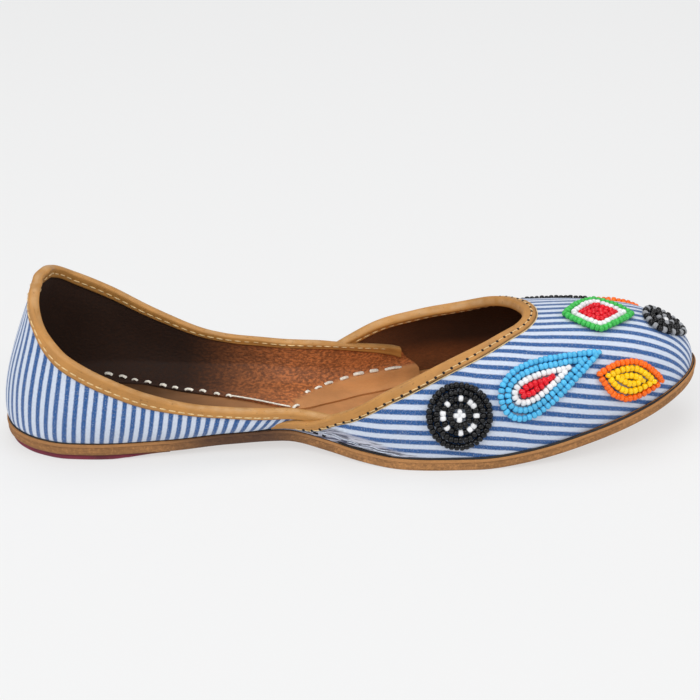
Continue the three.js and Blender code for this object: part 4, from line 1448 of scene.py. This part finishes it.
# Gap under the strap's skin, points round its fold, sections along it, reach over which they are smoothed.
SKIN_GAP = GAP * 0.3
FOLD_POINTS = 9
STRAP_SECTIONS = 361
SOFT_SECTIONS = 5

# The vamp's strap thins out towards its tails: share of its thickness left, length of the change.
TAIL_THIN = 0.2
TAIL_RAMP = 16.0

# The quarter's strap is tucked under the vamp: X where that starts and is done, offset of its skin there.
TUCK_START = LAP_FULL + 9
TUCK_END = LAP_FULL + 19
TUCK_OFFSET = -0.55


def strap_skin():
    """Profile of a folded strap's skin: share of the leg down, offset off the wall, lift past its edge."""
    skin = [(down, SKIN_GAP + BINDING_SKIN * part, 0.0) for down, part in OUTER_PROFILE]
    half = WALL / 2 + GAP + BINDING_SKIN
    for turn in np.linspace(0, math.pi, FOLD_POINTS):
        skin.append((0.0, -WALL / 2 + half * math.cos(turn), (GAP + BINDING_SKIN) * math.sin(turn)))
    skin += [(INNER_LEG * down, -WALL - SKIN_GAP - BINDING_SKIN * part, 0.0) for down, part in INNER_PROFILE]
    return np.array(skin)


def binding_points(wall, u, rows, wave):
    """Points of a profile along a wall's upper edge."""
    down = rows[None, :, 0]
    offset = rows[None, :, 1]
    v = 1 - down * ((wall.leg(u) + wave) / wall.pace(u))[:, None]
    thick = np.ones((len(u), 1))
    if wall is VAMP:
        full = ease(VAMP_TAIL, VAMP_TAIL + TAIL_RAMP, wall.face(u, 1.0)[:, :1])
        thick = TAIL_THIN + (1 - TAIL_THIN) * full
    inside = np.clip(offset, -WALL, 0)
    return wall.point(u[:, None], v, inside + (offset - inside) * thick, rows[None, :, 2] * thick)


def softened(points):
    """Sections of a strap, each the mean of its neighbours, except at the two ends."""
    reach = SOFT_SECTIONS
    weights = np.hanning(2 * reach + 3)[1:-1]
    kept = len(points) - 2 * reach
    mean = sum(weight * points[k:k + kept] for k, weight in enumerate(weights / weights.sum()))
    return np.concatenate([points[:reach], mean, points[-reach:]])


class JUTTI_OT_bindings(bpy.types.Operator):
    """Folds the leather straps over the collar of the quarter and the throat of the vamp"""

    bl_idname = "jutti.bindings"
    bl_label = "Bindings"

    def execute(self, context):
        leather = binding_leather("strap_leather")
        self.strap("quarter_strap", QUARTER, leather, "quarter_binding", seed=31)
        self.strap("vamp_strap", VAMP, leather, "vamp_binding", seed=32)
        return {"FINISHED"}

    def strap(self, name, wall, leather, node, seed):
        u = np.linspace(-1, 1, STRAP_SECTIONS)
        skin = strap_skin()
        back = np.array(BACK_PROFILE)
        edge = wall.face(u, 1.0)
        wave = ripple(edge, size=30.0, depth=0.10, seed=seed)
        outside = binding_points(wall, u, skin, wave)
        inside = binding_points(wall, u, back, wave)
        if wall is QUARTER:
            tuck = ease(TUCK_START, TUCK_END, edge[:, 0])[:, None, None]
            rows = skin.copy()
            rows[:, 1] = np.minimum(rows[:, 1], TUCK_OFFSET)
            outside = outside + (binding_points(wall, u, rows, wave) - outside) * tuck
        points = softened(np.concatenate([outside, inside], axis=1))
        across = arc_along(outside[len(u) // 2])
        part = np.concatenate([across / across[-1], np.full(len(back), 0.5)])
        arc = arc_along(edge)
        lay = stack(arc[:, None], part[None, :] * across[-1], part[None, :])
        made = add_sections(name, points, lay, start=True, end=True)
        settle(made, leather, "binding_leather", node)


# Beads.

PALETTE = {
    "black": (7, 7, 9), "white": (238, 238, 240), "sky": (84, 186, 232), "red": (226, 18, 38),
    "green": (66, 190, 84), "orange": (255, 112, 18), "yellow": (255, 204, 12), "silver": (150, 152, 156),
}

# Node, outline, X, turn round the section and on the surface in degrees, half sizes, rows from the rim in.
MOTIFS = (
    ("beads_rosette_outer", "disc", 157, -68, 0, 11.5, 11.5, ("black", "black", "petal", "black", "white")),
    ("beads_drop_outer", "drop", 189, -52, 20, 19.5, 13, ("sky", "sky", "white", "red", "red")),
    ("beads_leaf_outer", "leaf", 217, -65, -20, 13, 7, ("orange", "yellow", "yellow")),
    ("beads_lozenge_top", "lozenge", 208, -6, 0, 13, 11, ("green", "white", "red", "red", "black")),
    ("beads_rosette_toe", "disc", 232, -4, 0, 8, 8, ("pewter", "black", "pewter", "white")),
    ("beads_rosette_inner", "disc", 165, 70, 0, 10.5, 10.5, ("red", "white", "petal", "sky", "yellow")),
    ("beads_drop_inner", "drop", 193, 54, -22, 17, 11, ("black", "silver", "white", "green", "green")),
    ("beads_leaf_inner", "leaf", 220, 56, 20, 12, 6.5, ("orange", "yellow", "yellow")),
)


# Outlines of the patches: how far a leaf is drawn in at its tips, a drop's width at its middle and its change
# from there, power of a lozenge's bowed sides, points on an outline.
LEAF_TIPS = 0.45
DROP_MIDDLE = 0.62
DROP_TAPER = 0.38
LOZENGE_POWER = 1.25
RIM_POINTS = 720

# Rows of beads: slack of a row's line, fewest points on it. Core of a patch: spacing of the places tried,
# rows that it stays in from the rim, room of each bead as a share of an ellipse of one step by one row.
ROW_SLACK = 0.04
ROW_FEWEST = 6
CORE_GRID = 0.25
CORE_INSET = 1.5
CORE_ROOM = 0.72
CORE_RIM_STEP = 6

# Hand work: seed, stray in millimetres, lean, ranges of shade and size, reach of a bead's direction.
BEAD_SEED = 5
BEAD_STRAY = 0.06
BEAD_LEAN = 0.08
BEAD_SHADES = (0.86, 1.08)
BEAD_SIZES = (0.93, 1.05)
BEAD_AHEAD = 0.2
TURN_STEP = 0.02

# Petals of a rosette: their number, cosine down to which a petal is white.
PETALS = 8
PETAL_EDGE = -0.1


def outline(shape, angle):
    """Outline of a patch as a share of its half sizes."""
    x = np.cos(angle)
    y = np.sin(angle)
    if shape == "leaf":
        y = y * (1 - LEAF_TIPS * x ** 2)
    if shape == "drop":
        y = y * (DROP_MIDDLE - DROP_TAPER * x)
    if shape == "lozenge":
        size = (np.abs(x) ** LOZENGE_POWER + np.abs(y) ** LOZENGE_POWER) ** (1 / LOZENGE_POWER)
        x = x / size
        y = y / size
    return stack(x, y)


def inset_rows(rim, depth):
    """Line that keeps a depth inside a closed outline."""
    along = unit(np.roll(rim, -1, axis=0) - np.roll(rim, 1, axis=0))
    moved = rim + depth * stack(-along[:, 1], along[:, 0])
    gaps = np.linalg.norm(moved[:, None] - rim[None], axis=-1).min(axis=1)
    return moved[gaps > depth - ROW_SLACK]


def beads_on_line(line, step):
    """Evenly spaced places and directions on a closed line."""
    loop = np.concatenate([line, line[:1]])
    at = arc_along(loop)
    count = max(3, round(at[-1] / step))
    want = np.arange(count) * at[-1] / count
    spots = stack(np.interp(want, at, loop[:, 0]), np.interp(want, at, loop[:, 1]))
    next_spots = np.roll(spots, -1, axis=0)
    return spots, unit(next_spots - np.roll(spots, 1, axis=0))


def beads_in_core(rim, placed_spots, row, step):
    """Places for single beads wherever the rows leave room, from the middle out."""
    across = np.arange(rim[:, 0].min(), rim[:, 0].max(), CORE_GRID)
    up = np.arange(rim[:, 1].min(), rim[:, 1].max(), CORE_GRID)
    grid = stack(*np.meshgrid(across, up)).reshape(-1, 2)
    depth = np.linalg.norm(grid[:, None] - rim[None, ::CORE_RIM_STEP], axis=-1).min(axis=1)
    turns = np.unwrap(np.arctan2(rim[None, :, 1] - grid[:, 1:], rim[None, :, 0] - grid[:, :1]), axis=1)
    within = np.abs(turns[:, -1] - turns[:, 0]) > math.pi
    order = np.argsort(-depth)
    spots = list(placed_spots)
    added = []
    for k in order[within[order] & (depth[order] > CORE_INSET * row)]:
        offset = (np.array(spots) - grid[k]) / np.array([step, row])
        if np.min(np.sum(offset ** 2, axis=1)) > CORE_ROOM:
            spots.append(grid[k])
            added.append(k)
    return grid[added], depth[added]


class JUTTI_OT_beadwork(bpy.types.Operator):
    """Sews rows of glass beads on the vamp in flowers, drops, leaves and a lozenge"""

    bl_idname = "jutti.beadwork"
    bl_label = "Beadwork"

    def execute(self, context):
        self.tree = bead_tree()
        self.glass = glass_beads("bead_glass")
        self.rng = np.random.default_rng(BEAD_SEED)
        for motif in MOTIFS:
            self.motif(*motif)
        return {"FINISHED"}

    def bead_colour(self, name, angles):
        if name == "petal":
            white = np.cos(PETALS * angles) > PETAL_EDGE
            return np.where(white[:, None], srgb(*PALETTE["white"]), srgb(*PALETTE["black"]))
        if name == "pewter":
            even = np.arange(len(angles)) % 2 == 0
            return np.where(even[:, None], srgb(*PALETTE["silver"]), srgb(*PALETTE["black"]))
        return np.tile(srgb(*PALETTE[name]), (len(angles), 1))

    def motif(self, node, shape, x, around, turned, long, wide, rings):
        around = math.radians(around)
        turned = math.radians(turned)
        step_round = last_point(x, around + TURN_STEP) - last_point(x, around - TURN_STEP)
        girth = np.linalg.norm(step_round) / (2 * TURN_STEP)
        angles = np.linspace(0, 2 * math.pi, RIM_POINTS, endpoint=False)
        rim = outline(shape, angles) * np.array([long, wide])
        row = sizes().bead_row * 1000
        step = sizes().bead_step * 1000

        def place(local):
            u, w = local.T
            at = x + u * math.cos(turned) - w * math.sin(turned)
            turn = around + (u * math.sin(turned) + w * math.cos(turned)) / girth
            return at, turn

        lines = []
        for k, name in enumerate(rings):
            line = inset_rows(rim, (k + 0.5) * row)
            if len(line) < ROW_FEWEST or arc_along(line)[-1] < 2 * step:
                break
            lines.append((name, *beads_on_line(line, step)))
        core, depth = beads_in_core(rim, np.concatenate([spots for _, spots, _ in lines]), row, step)
        levels = np.minimum((depth / row).astype(int), len(rings) - 1)
        for level in np.unique(levels):
            spots = core[levels == level]
            lines.append((rings[level], spots, np.tile([1.0, 0.0], (len(spots), 1))))
        points = []
        rows = []
        offs = []
        tints = []
        grows = []
        for name, spots, ways in lines:
            spots = spots + self.rng.normal(0, BEAD_STRAY, spots.shape)
            at, turn = place(spots)
            ahead_at, ahead_turn = place(spots + BEAD_AHEAD * ways)
            off = last_normal(at, turn)
            height = 0.5 * sizes().bead_width * 1000 + self.rng.normal(0, BEAD_STRAY, len(spots))
            points.append(last_point(at, turn) + off * height[:, None])
            rows.append(last_point(ahead_at, ahead_turn) - last_point(at, turn))
            offs.append(off)
            shade = self.bead_colour(name, np.arctan2(spots[:, 1], spots[:, 0]))
            tints.append(shade * self.rng.uniform(*BEAD_SHADES, (len(spots), 1)))
            grows.append(self.rng.uniform(*BEAD_SIZES, (len(spots), 3)))
        lean = np.concatenate(offs) + self.rng.normal(0, BEAD_LEAN, (sum(map(len, offs)), 3))
        values = {"Length": sizes().bead_length, "Width": sizes().bead_width}
        made = spread(
            node.replace("beads_", "beadwork_"), self.tree, np.concatenate(points), np.concatenate(rows),
            lean, self.glass, values, np.clip(np.concatenate(tints), 0, 1), np.concatenate(grows),
        )
        settle(made, None, "beads", node)


# Stitching.

# Rows of stitches: share of the binding's leg down at the back and the front, X where that changes.
QUARTER_SEAM = (0.62, 0.62, 0.0, 1.0)
QUARTER_INNER_SEAM = (0.38, 0.12, 45.0, 100.0)
VAMP_SEAM = (0.82, 0.54, 142.0, 166.0)
VAMP_INNER_SEAM = (0.45, 0.45, 0.0, 1.0)

# Seams: name, wall, row, share of the skin's thickness under it, face, shift in steps, share of the thread.
SEAMS = (
    ("quarter_seam_outer", QUARTER, QUARTER_SEAM, 1.00, 1, 0.0, 1.0),
    ("quarter_seam_inner", QUARTER, QUARTER_INNER_SEAM, 1.12, -1, 0.0, 1.0),
    ("vamp_seam_outer", VAMP, VAMP_SEAM, 1.08, 1, 0.5, 0.7),
    ("vamp_seam_inner", VAMP, VAMP_INNER_SEAM, 0.95, -1, 0.0, 1.0),
)

# Ends of a seam along its wall, points on its line, reach of a stitch's direction.
SEAM_END = 0.985
SEAM_POINTS = 2400
SEAM_AHEAD = 2e-3

# X from which the vamp's seams show outside and inside, and up to which the quarter's outer seam shows.
VAMP_SEAM_START = VAMP_TAIL + 9
VAMP_INNER_SEAM_START = LAP_FULL + 22
QUARTER_SEAM_STOP = LAP_START + 12

# Thread, and a dark tube of painted shade in the gap, along the lower edge of the vamp's binding: ends along
# the wall, points, height off it, then name, share of the leg down, radius.
EDGE_END = 0.93
EDGE_POINTS = 420
EDGE_HEIGHT = 0.12
EDGE_LINES = (("thread", 1.06, 0.2), ("shade", 0.99, 0.17))

# Needle holes of the vamp's seam: share of the skin's thickness under them, how far they are sunk.
HOLE_SKIN = 1.12
HOLE_SINK = 0.04

# Hand stitches that hold the turned-in lining: X, Y, height over the insole, share of the usual length.
TIES = (
    (35.0, 21.0, 2.0, 0.9), (40.2, 19.4, 1.6, 0.9), (44.5, 17.6, 1.1, 0.7), (49.3, 15.9, 1.0, 0.8),
    (54.8, 13.3, 1.0, 0.8), (59.1, 11.2, 1.0, 0.7), (64.1, 9.1, 1.0, 1.0), (69.1, 7.3, 1.0, 0.8),
    (74.1, 4.3, 1.0, 0.7), (78.4, 2.2, 1.0, 0.7), (101.9, -8.0, 1.0, 1.0),
    (106.4, 3.9, 1.0, 0.7), (110.3, 8.2, 1.0, 1.1), (114.2, 12.3, 1.4, 1.1), (119.9, 16.1, 2.2, 1.1),
    (125.3, 19.3, 2.8, 1.3), (131.0, 22.1, 2.8, 1.1), (138.2, 25.7, 2.1, 2.1),
)

# Hand work on them: seed, lift off the lining, flatness, range of their widths.
TIE_SEED = 41
TIE_LIFT = 0.25
TIE_FLAT = 0.55
TIE_WIDTHS = (0.9, 1.15)

# Stitches at the ends of the two rows and the single one at the corner, each with the one whose way it takes.
TIE_ENDS = ((17, 16), (10, 11), (9, 8))

# Loose end of the hand thread on the insole: X, Y. Its height over the insole and its radius.
LOOSE_END = ((78.4, 2.2), (86.0, -1.5), (94.6, -6.3), (100.0, -8.7))
LOOSE_HEIGHT = 1.15
LOOSE_RADIUS = 0.3

# Frayed threads, and dark tubes of painted shade in the gaps at the outer waist: radii, height off the cloth,
# points on each, waves of sway.
FRAY_RADIUS = 0.15
SHADE_RADIUS = 0.34
FRAY_HEIGHT = 0.15
FRAY_POINTS = 24
FRAY_WAVES = 9

# X of both ends, heights over the feather edge, sway.
FRAYS = (
    (106.0, 112.0, 3.6, 3.0, 0.20), (109.0, 117.0, 2.6, 2.3, 0.20), (114.0, 123.0, 3.4, 2.6, 0.25),
    (119.0, 128.0, 2.2, 1.7, 0.20), (124.0, 133.0, 3.0, 2.2, 0.20), (128.0, 137.0, 1.6, 1.0, 0.15),
)
SHADES = (
    (116.0, 130.0, 0.75, 0.55, 0.08), (129.0, 134.0, 0.5, 0.2, 0.05), (104.6, 106.4, 1.7, 1.6, 0.0),
    (107.6, 109.2, 1.6, 1.5, 0.0), (110.6, 111.8, 1.5, 1.4, 0.0),
)


class JUTTI_OT_stitching(bpy.types.Operator):
    """Sews the bindings and the turned-in lining, and leaves the loose ends of the thread"""

    bl_idname = "jutti.stitching"
    bl_label = "Stitching"

    def execute(self, context):
        self.stitches = stitch_tree()
        self.cream = spun_thread("cream_thread", colours().cream)
        self.white = spun_thread("white_thread", colours().white)
        # Near-black painted shade for the needle holes, the gap under the vamp's binding and the gaps at the
        # outer waist.
        self.dark = dark_finish("hole_shade", colours().black, 0.8)
        for seam in SEAMS:
            self.binding_row(*seam)
        self.edge_threads()
        self.needle_holes()
        self.ties()
        self.loose_threads()
        return {"FINISHED"}

    def across(self, wall, down, u):
        """Place up the wall of a row, which lies a share of the binding's leg down."""
        back, front, start, end = down
        part = back + (front - back) * ease(start, end, wall.face(u, 1.0)[:, 0])
        return 1 - part * wall.leg(u) / wall.pace(u)

    def line(self, wall, down, part, face, shift):
        """Places along a binding, with the direction of the row and the way off the leather."""
        u = np.linspace(-SEAM_END, SEAM_END, SEAM_POINTS)
        v = self.across(wall, down, u)
        skin = SKIN_GAP + BINDING_SKIN * part
        offset = skin if face > 0 else -WALL - skin
        path = wall.point(u, v, np.full_like(u, offset))
        arc = arc_along(path)
        step = sizes().stitch_step * 1000
        want = (np.arange(int(arc[-1] / step)) + shift) * step + 0.5 * step
        want = want[want < arc[-1]]
        at = np.interp(want, arc, u)
        v = self.across(wall, down, at)
        spots = wall.point(at, v, np.full_like(at, offset))
        ahead = wall.point(at + SEAM_AHEAD, v, np.full_like(at, offset))
        return at, spots, ahead - spots, face * wall.normal(at, v)

    def shown(self, wall, at, face):
        """Which stitches of a row lie clear of the lap."""
        x = wall.face(at, 1.0)[:, 0]
        if wall is VAMP:
            return x > (VAMP_SEAM_START if face > 0 else VAMP_INNER_SEAM_START)
        return x < (QUARTER_SEAM_STOP if face > 0 else LENGTH)

    def binding_row(self, name, wall, down, part, face, shift, fine):
        at, spots, row, off = self.line(wall, down, part, face, shift)
        kept = self.shown(wall, at, face)
        values = {"Length": sizes().stitch_length, "Width": sizes().thread_width}
        grow = np.tile([1.0, fine, fine], (kept.sum(), 1))
        made = spread(name, self.stitches, spots[kept], row[kept], off[kept], self.cream, values, grow=grow)
        settle(made, None, "binding_leather")

    def edge_threads(self):
        """Thread, and a dark tube of painted shade in the gap, along the lower edge of the vamp's binding."""
        u = np.linspace(-EDGE_END, EDGE_END, EDGE_POINTS)
        for (name, down, radius), finish in zip(EDGE_LINES, (self.cream, self.dark)):
            v = self.across(VAMP, (down, down, 0.0, 1.0), u)
            path = VAMP.point(u, v, EDGE_HEIGHT + ripple(VAMP.face(u, v), size=5.0, depth=0.06, seed=51))
            settle(add_tubes("vamp_edge_" + name, [path], radius, sides=5), finish, "binding_leather")

    def needle_holes(self):
        at, spots, row, off = self.line(VAMP, VAMP_SEAM, HOLE_SKIN, 1, 0.0)
        kept = self.shown(VAMP, at, 1)
        values = {"Width": sizes().hole_width}
        places = spots[kept] - HOLE_SINK * off[kept]
        made = spread("vamp_needle_holes", hole_tree(), places, row[kept], off[kept], self.dark, values)
        settle(made, None, "binding_leather")

    def ties(self):
        rng = np.random.default_rng(TIE_SEED)
        table = np.array(TIES)
        want = stack(table[:, 0], table[:, 1], insole_top(table[:, 0]) + table[:, 2])
        grid = lining_face(np.linspace(0, 1, QUARTER.columns + 1)[:, None], 0.0)
        off = unit(np.cross(np.gradient(grid, axis=1), np.gradient(grid, axis=0))).reshape(-1, 3)
        off = off * np.where(off[:, 2:] < 0, -1, 1)
        nearest = np.linalg.norm(want[:, None] - grid.reshape(1, -1, 3), axis=-1).argmin(axis=1)
        ahead = np.roll(want, -1, axis=0) - want
        ends, beside = np.array(TIE_ENDS).T
        ahead[ends] = ahead[beside]
        grow = stack(table[:, 3], rng.uniform(*TIE_WIDTHS, len(table)), TIE_FLAT)
        values = {"Length": sizes().tie_length, "Width": sizes().tie_width}
        off = off[nearest]
        places = want + TIE_LIFT * off
        made = spread("lining_ties", self.stitches, places, ahead, off, self.white, values, grow=grow)
        settle(made, None, "insole_leather")

    def loose_threads(self):
        tail = [(x, y, insole_top(x) + LOOSE_HEIGHT) for x, y in LOOSE_END]
        made = add_tubes("lining_thread", [smooth_path(tail, count=40)], LOOSE_RADIUS)
        settle(made, self.white, "insole_leather")
        made = add_tubes("waist_frays", [self.at_waist(*fray) for fray in FRAYS], FRAY_RADIUS, sides=5)
        settle(made, spun_thread("frayed_yarn", colours().stripe_white), "striped_cloth")
        # Dark tubes of painted shade in the gaps of the cloth at the outer waist.
        made = add_tubes("waist_shade", [self.at_waist(*gap) for gap in SHADES], SHADE_RADIUS, sides=6)
        settle(made, self.dark, "striped_cloth")

    def at_waist(self, start, end, low, high, sway):
        """Wavy line on the cloth of the outer waist: X and height over the feather edge at both ends."""
        t = np.linspace(0, 1, FRAY_POINTS)
        x = start + (end - start) * t
        over = low + (high - low) * t + sway * np.sin(FRAY_WAVES * t + start)
        height = over / (INSTEP_RISE * crest_at(feather_share(x)))
        turn = -np.arccos(np.clip(height, 0, 1) ** (SECTION_POWER / 2))
        return last_point(x, turn) + FRAY_HEIGHT * last_normal(x, turn)


# Stage.

# Camera: target and distance in millimetres, angles in degrees, shift in pixels, clipping in metres.
CAMERA_TARGET = (-0.5, -0.3, 20.0)
CAMERA_DISTANCE = 840.0
CAMERA_AZIMUTH = -2.7
CAMERA_ELEVATION = 27.2
CAMERA_ROLL = 0.2
CAMERA_SHIFT = (-2.0, 23.2)
CAMERA_CLIP = (0.01, 50.0)

# Width of the image and focal length in pixels, width of the sensor in millimetres.
IMAGE = 700.0
FOCAL_PIXELS = 2377.0
SENSOR = 36.0

# Floor and sky: half width in metres, grey and glow of the floor, colour and strength of the sky.
FLOOR_REACH = 6.0
FLOOR_GREY = 0.25
FLOOR_GLOW = 0.60
SKY = (0.96, 0.98, 1.0, 1)
SKY_STRENGTH = 0.33

# Soft round lights: where they point, then name, place, width, watts.
LIGHT_TARGET = (0, 0, 0.02)
LIGHTS = (
    ("key", (-0.35, -0.75, 0.95), 0.9, 7.4), ("fill", (0.75, -0.45, 0.60), 0.7, 3.1),
    ("top", (0.05, 0.35, 1.10), 0.9, 4.7), ("side", (-0.95, -0.30, 0.40), 0.6, 2.0),
)


class JUTTI_OT_stage(bpy.types.Operator):
    """Sets the pale floor, the soft lights and the camera"""

    bl_idname = "jutti.stage"
    bl_label = "Stage"

    def execute(self, context):
        self.floor()
        self.lights(context.scene)
        self.camera(context.scene)
        context.scene.view_settings.view_transform = "Standard"
        return {"FINISHED"}

    def floor(self):
        mesh = bpy.data.meshes.new("floor")
        corners = [(x * FLOOR_REACH, y * FLOOR_REACH, 0) for x, y in ((-1, -1), (1, -1), (1, 1), (-1, 1))]
        mesh.from_pydata(corners, [], [(0, 1, 2, 3)])
        floor = bpy.data.objects.new("floor", mesh)
        bpy.context.scene.collection.objects.link(floor)
        material, root = material_tree("pale_floor")
        glow = {"Emission_Color": (1, 1, 1, 1), "Emission_Strength": FLOOR_GLOW}
        close_material(root, (FLOOR_GREY, FLOOR_GREY, FLOOR_GREY, 1), 0.9, **glow)
        mesh.materials.append(material)

    def lights(self, scene):
        world = bpy.data.worlds.new("studio")
        world.use_nodes = True
        back = world.node_tree.nodes["Background"]
        back.inputs["Color"].default_value = SKY
        back.inputs["Strength"].default_value = SKY_STRENGTH
        scene.world = world
        for light in LIGHTS:
            self.area(*light)

    def area(self, name, place, size, watts):
        lamp = bpy.data.lights.new(name, "AREA")
        lamp.shape = "DISK"
        lamp.size = size
        lamp.energy = watts
        made = bpy.data.objects.new(name, lamp)
        bpy.context.scene.collection.objects.link(made)
        aim = Vector(LIGHT_TARGET) - Vector(place)
        made.matrix_world = Matrix.Translation(place) @ aim.to_track_quat("-Z", "Y").to_matrix().to_4x4()

    def camera(self, scene):
        azimuth = math.radians(CAMERA_AZIMUTH)
        elevation = math.radians(CAMERA_ELEVATION)
        level = math.cos(elevation)
        back = Vector((math.sin(azimuth) * level, -math.cos(azimuth) * level, math.sin(elevation)))
        place = (Vector(CAMERA_TARGET) + CAMERA_DISTANCE * back) / 1000
        turn = (-back).to_track_quat("-Z", "Y").to_matrix().to_4x4()
        roll = Matrix.Rotation(math.radians(CAMERA_ROLL), 4, "Z")
        lens = bpy.data.cameras.new("camera")
        lens.sensor_width = SENSOR
        lens.lens = FOCAL_PIXELS / IMAGE * SENSOR
        lens.shift_x, lens.shift_y = [pixels / IMAGE for pixels in CAMERA_SHIFT]
        lens.clip_start, lens.clip_end = CAMERA_CLIP
        camera = bpy.data.objects.new("camera", lens)
        camera.matrix_world = Matrix.Translation(place) @ turn @ roll
        scene.collection.objects.link(camera)
        scene.camera = camera


class JUTTI_PT_sidebar(bpy.types.Panel):
    """Lists the pieces of the shoe and its sizes and colours"""

    bl_idname = "JUTTI_PT_sidebar"
    bl_label = "Jutti"
    bl_space_type = "VIEW_3D"
    bl_region_type = "UI"
    bl_category = "Jutti"

    def draw(self, context):
        for operator in OPERATORS:
            self.layout.operator(operator.bl_idname)
        for group in (context.scene.jutti_sizes, context.scene.jutti_colours):
            for key in group.__annotations__:
                self.layout.prop(group, key)


OPERATORS = (
    JUTTI_OT_sole, JUTTI_OT_upper, JUTTI_OT_bindings, JUTTI_OT_beadwork, JUTTI_OT_stitching, JUTTI_OT_stage,
)
CLASSES = (JuttiSizes, JuttiColours) + OPERATORS + (JUTTI_PT_sidebar,)


def register():
    for cls in CLASSES:
        bpy.utils.register_class(cls)
    bpy.types.Scene.jutti_sizes = PointerProperty(type=JuttiSizes)
    bpy.types.Scene.jutti_colours = PointerProperty(type=JuttiColours)


def unregister():
    del bpy.types.Scene.jutti_colours
    del bpy.types.Scene.jutti_sizes
    for cls in reversed(CLASSES):
        bpy.utils.unregister_class(cls)


def main():
    register()
    bpy.ops.jutti.sole()
    bpy.ops.jutti.upper()
    bpy.ops.jutti.bindings()
    bpy.ops.jutti.beadwork()
    bpy.ops.jutti.stitching()
    bpy.ops.jutti.stage()
    bpy.context.view_layer.update()


if __name__ == "__main__":
    main()
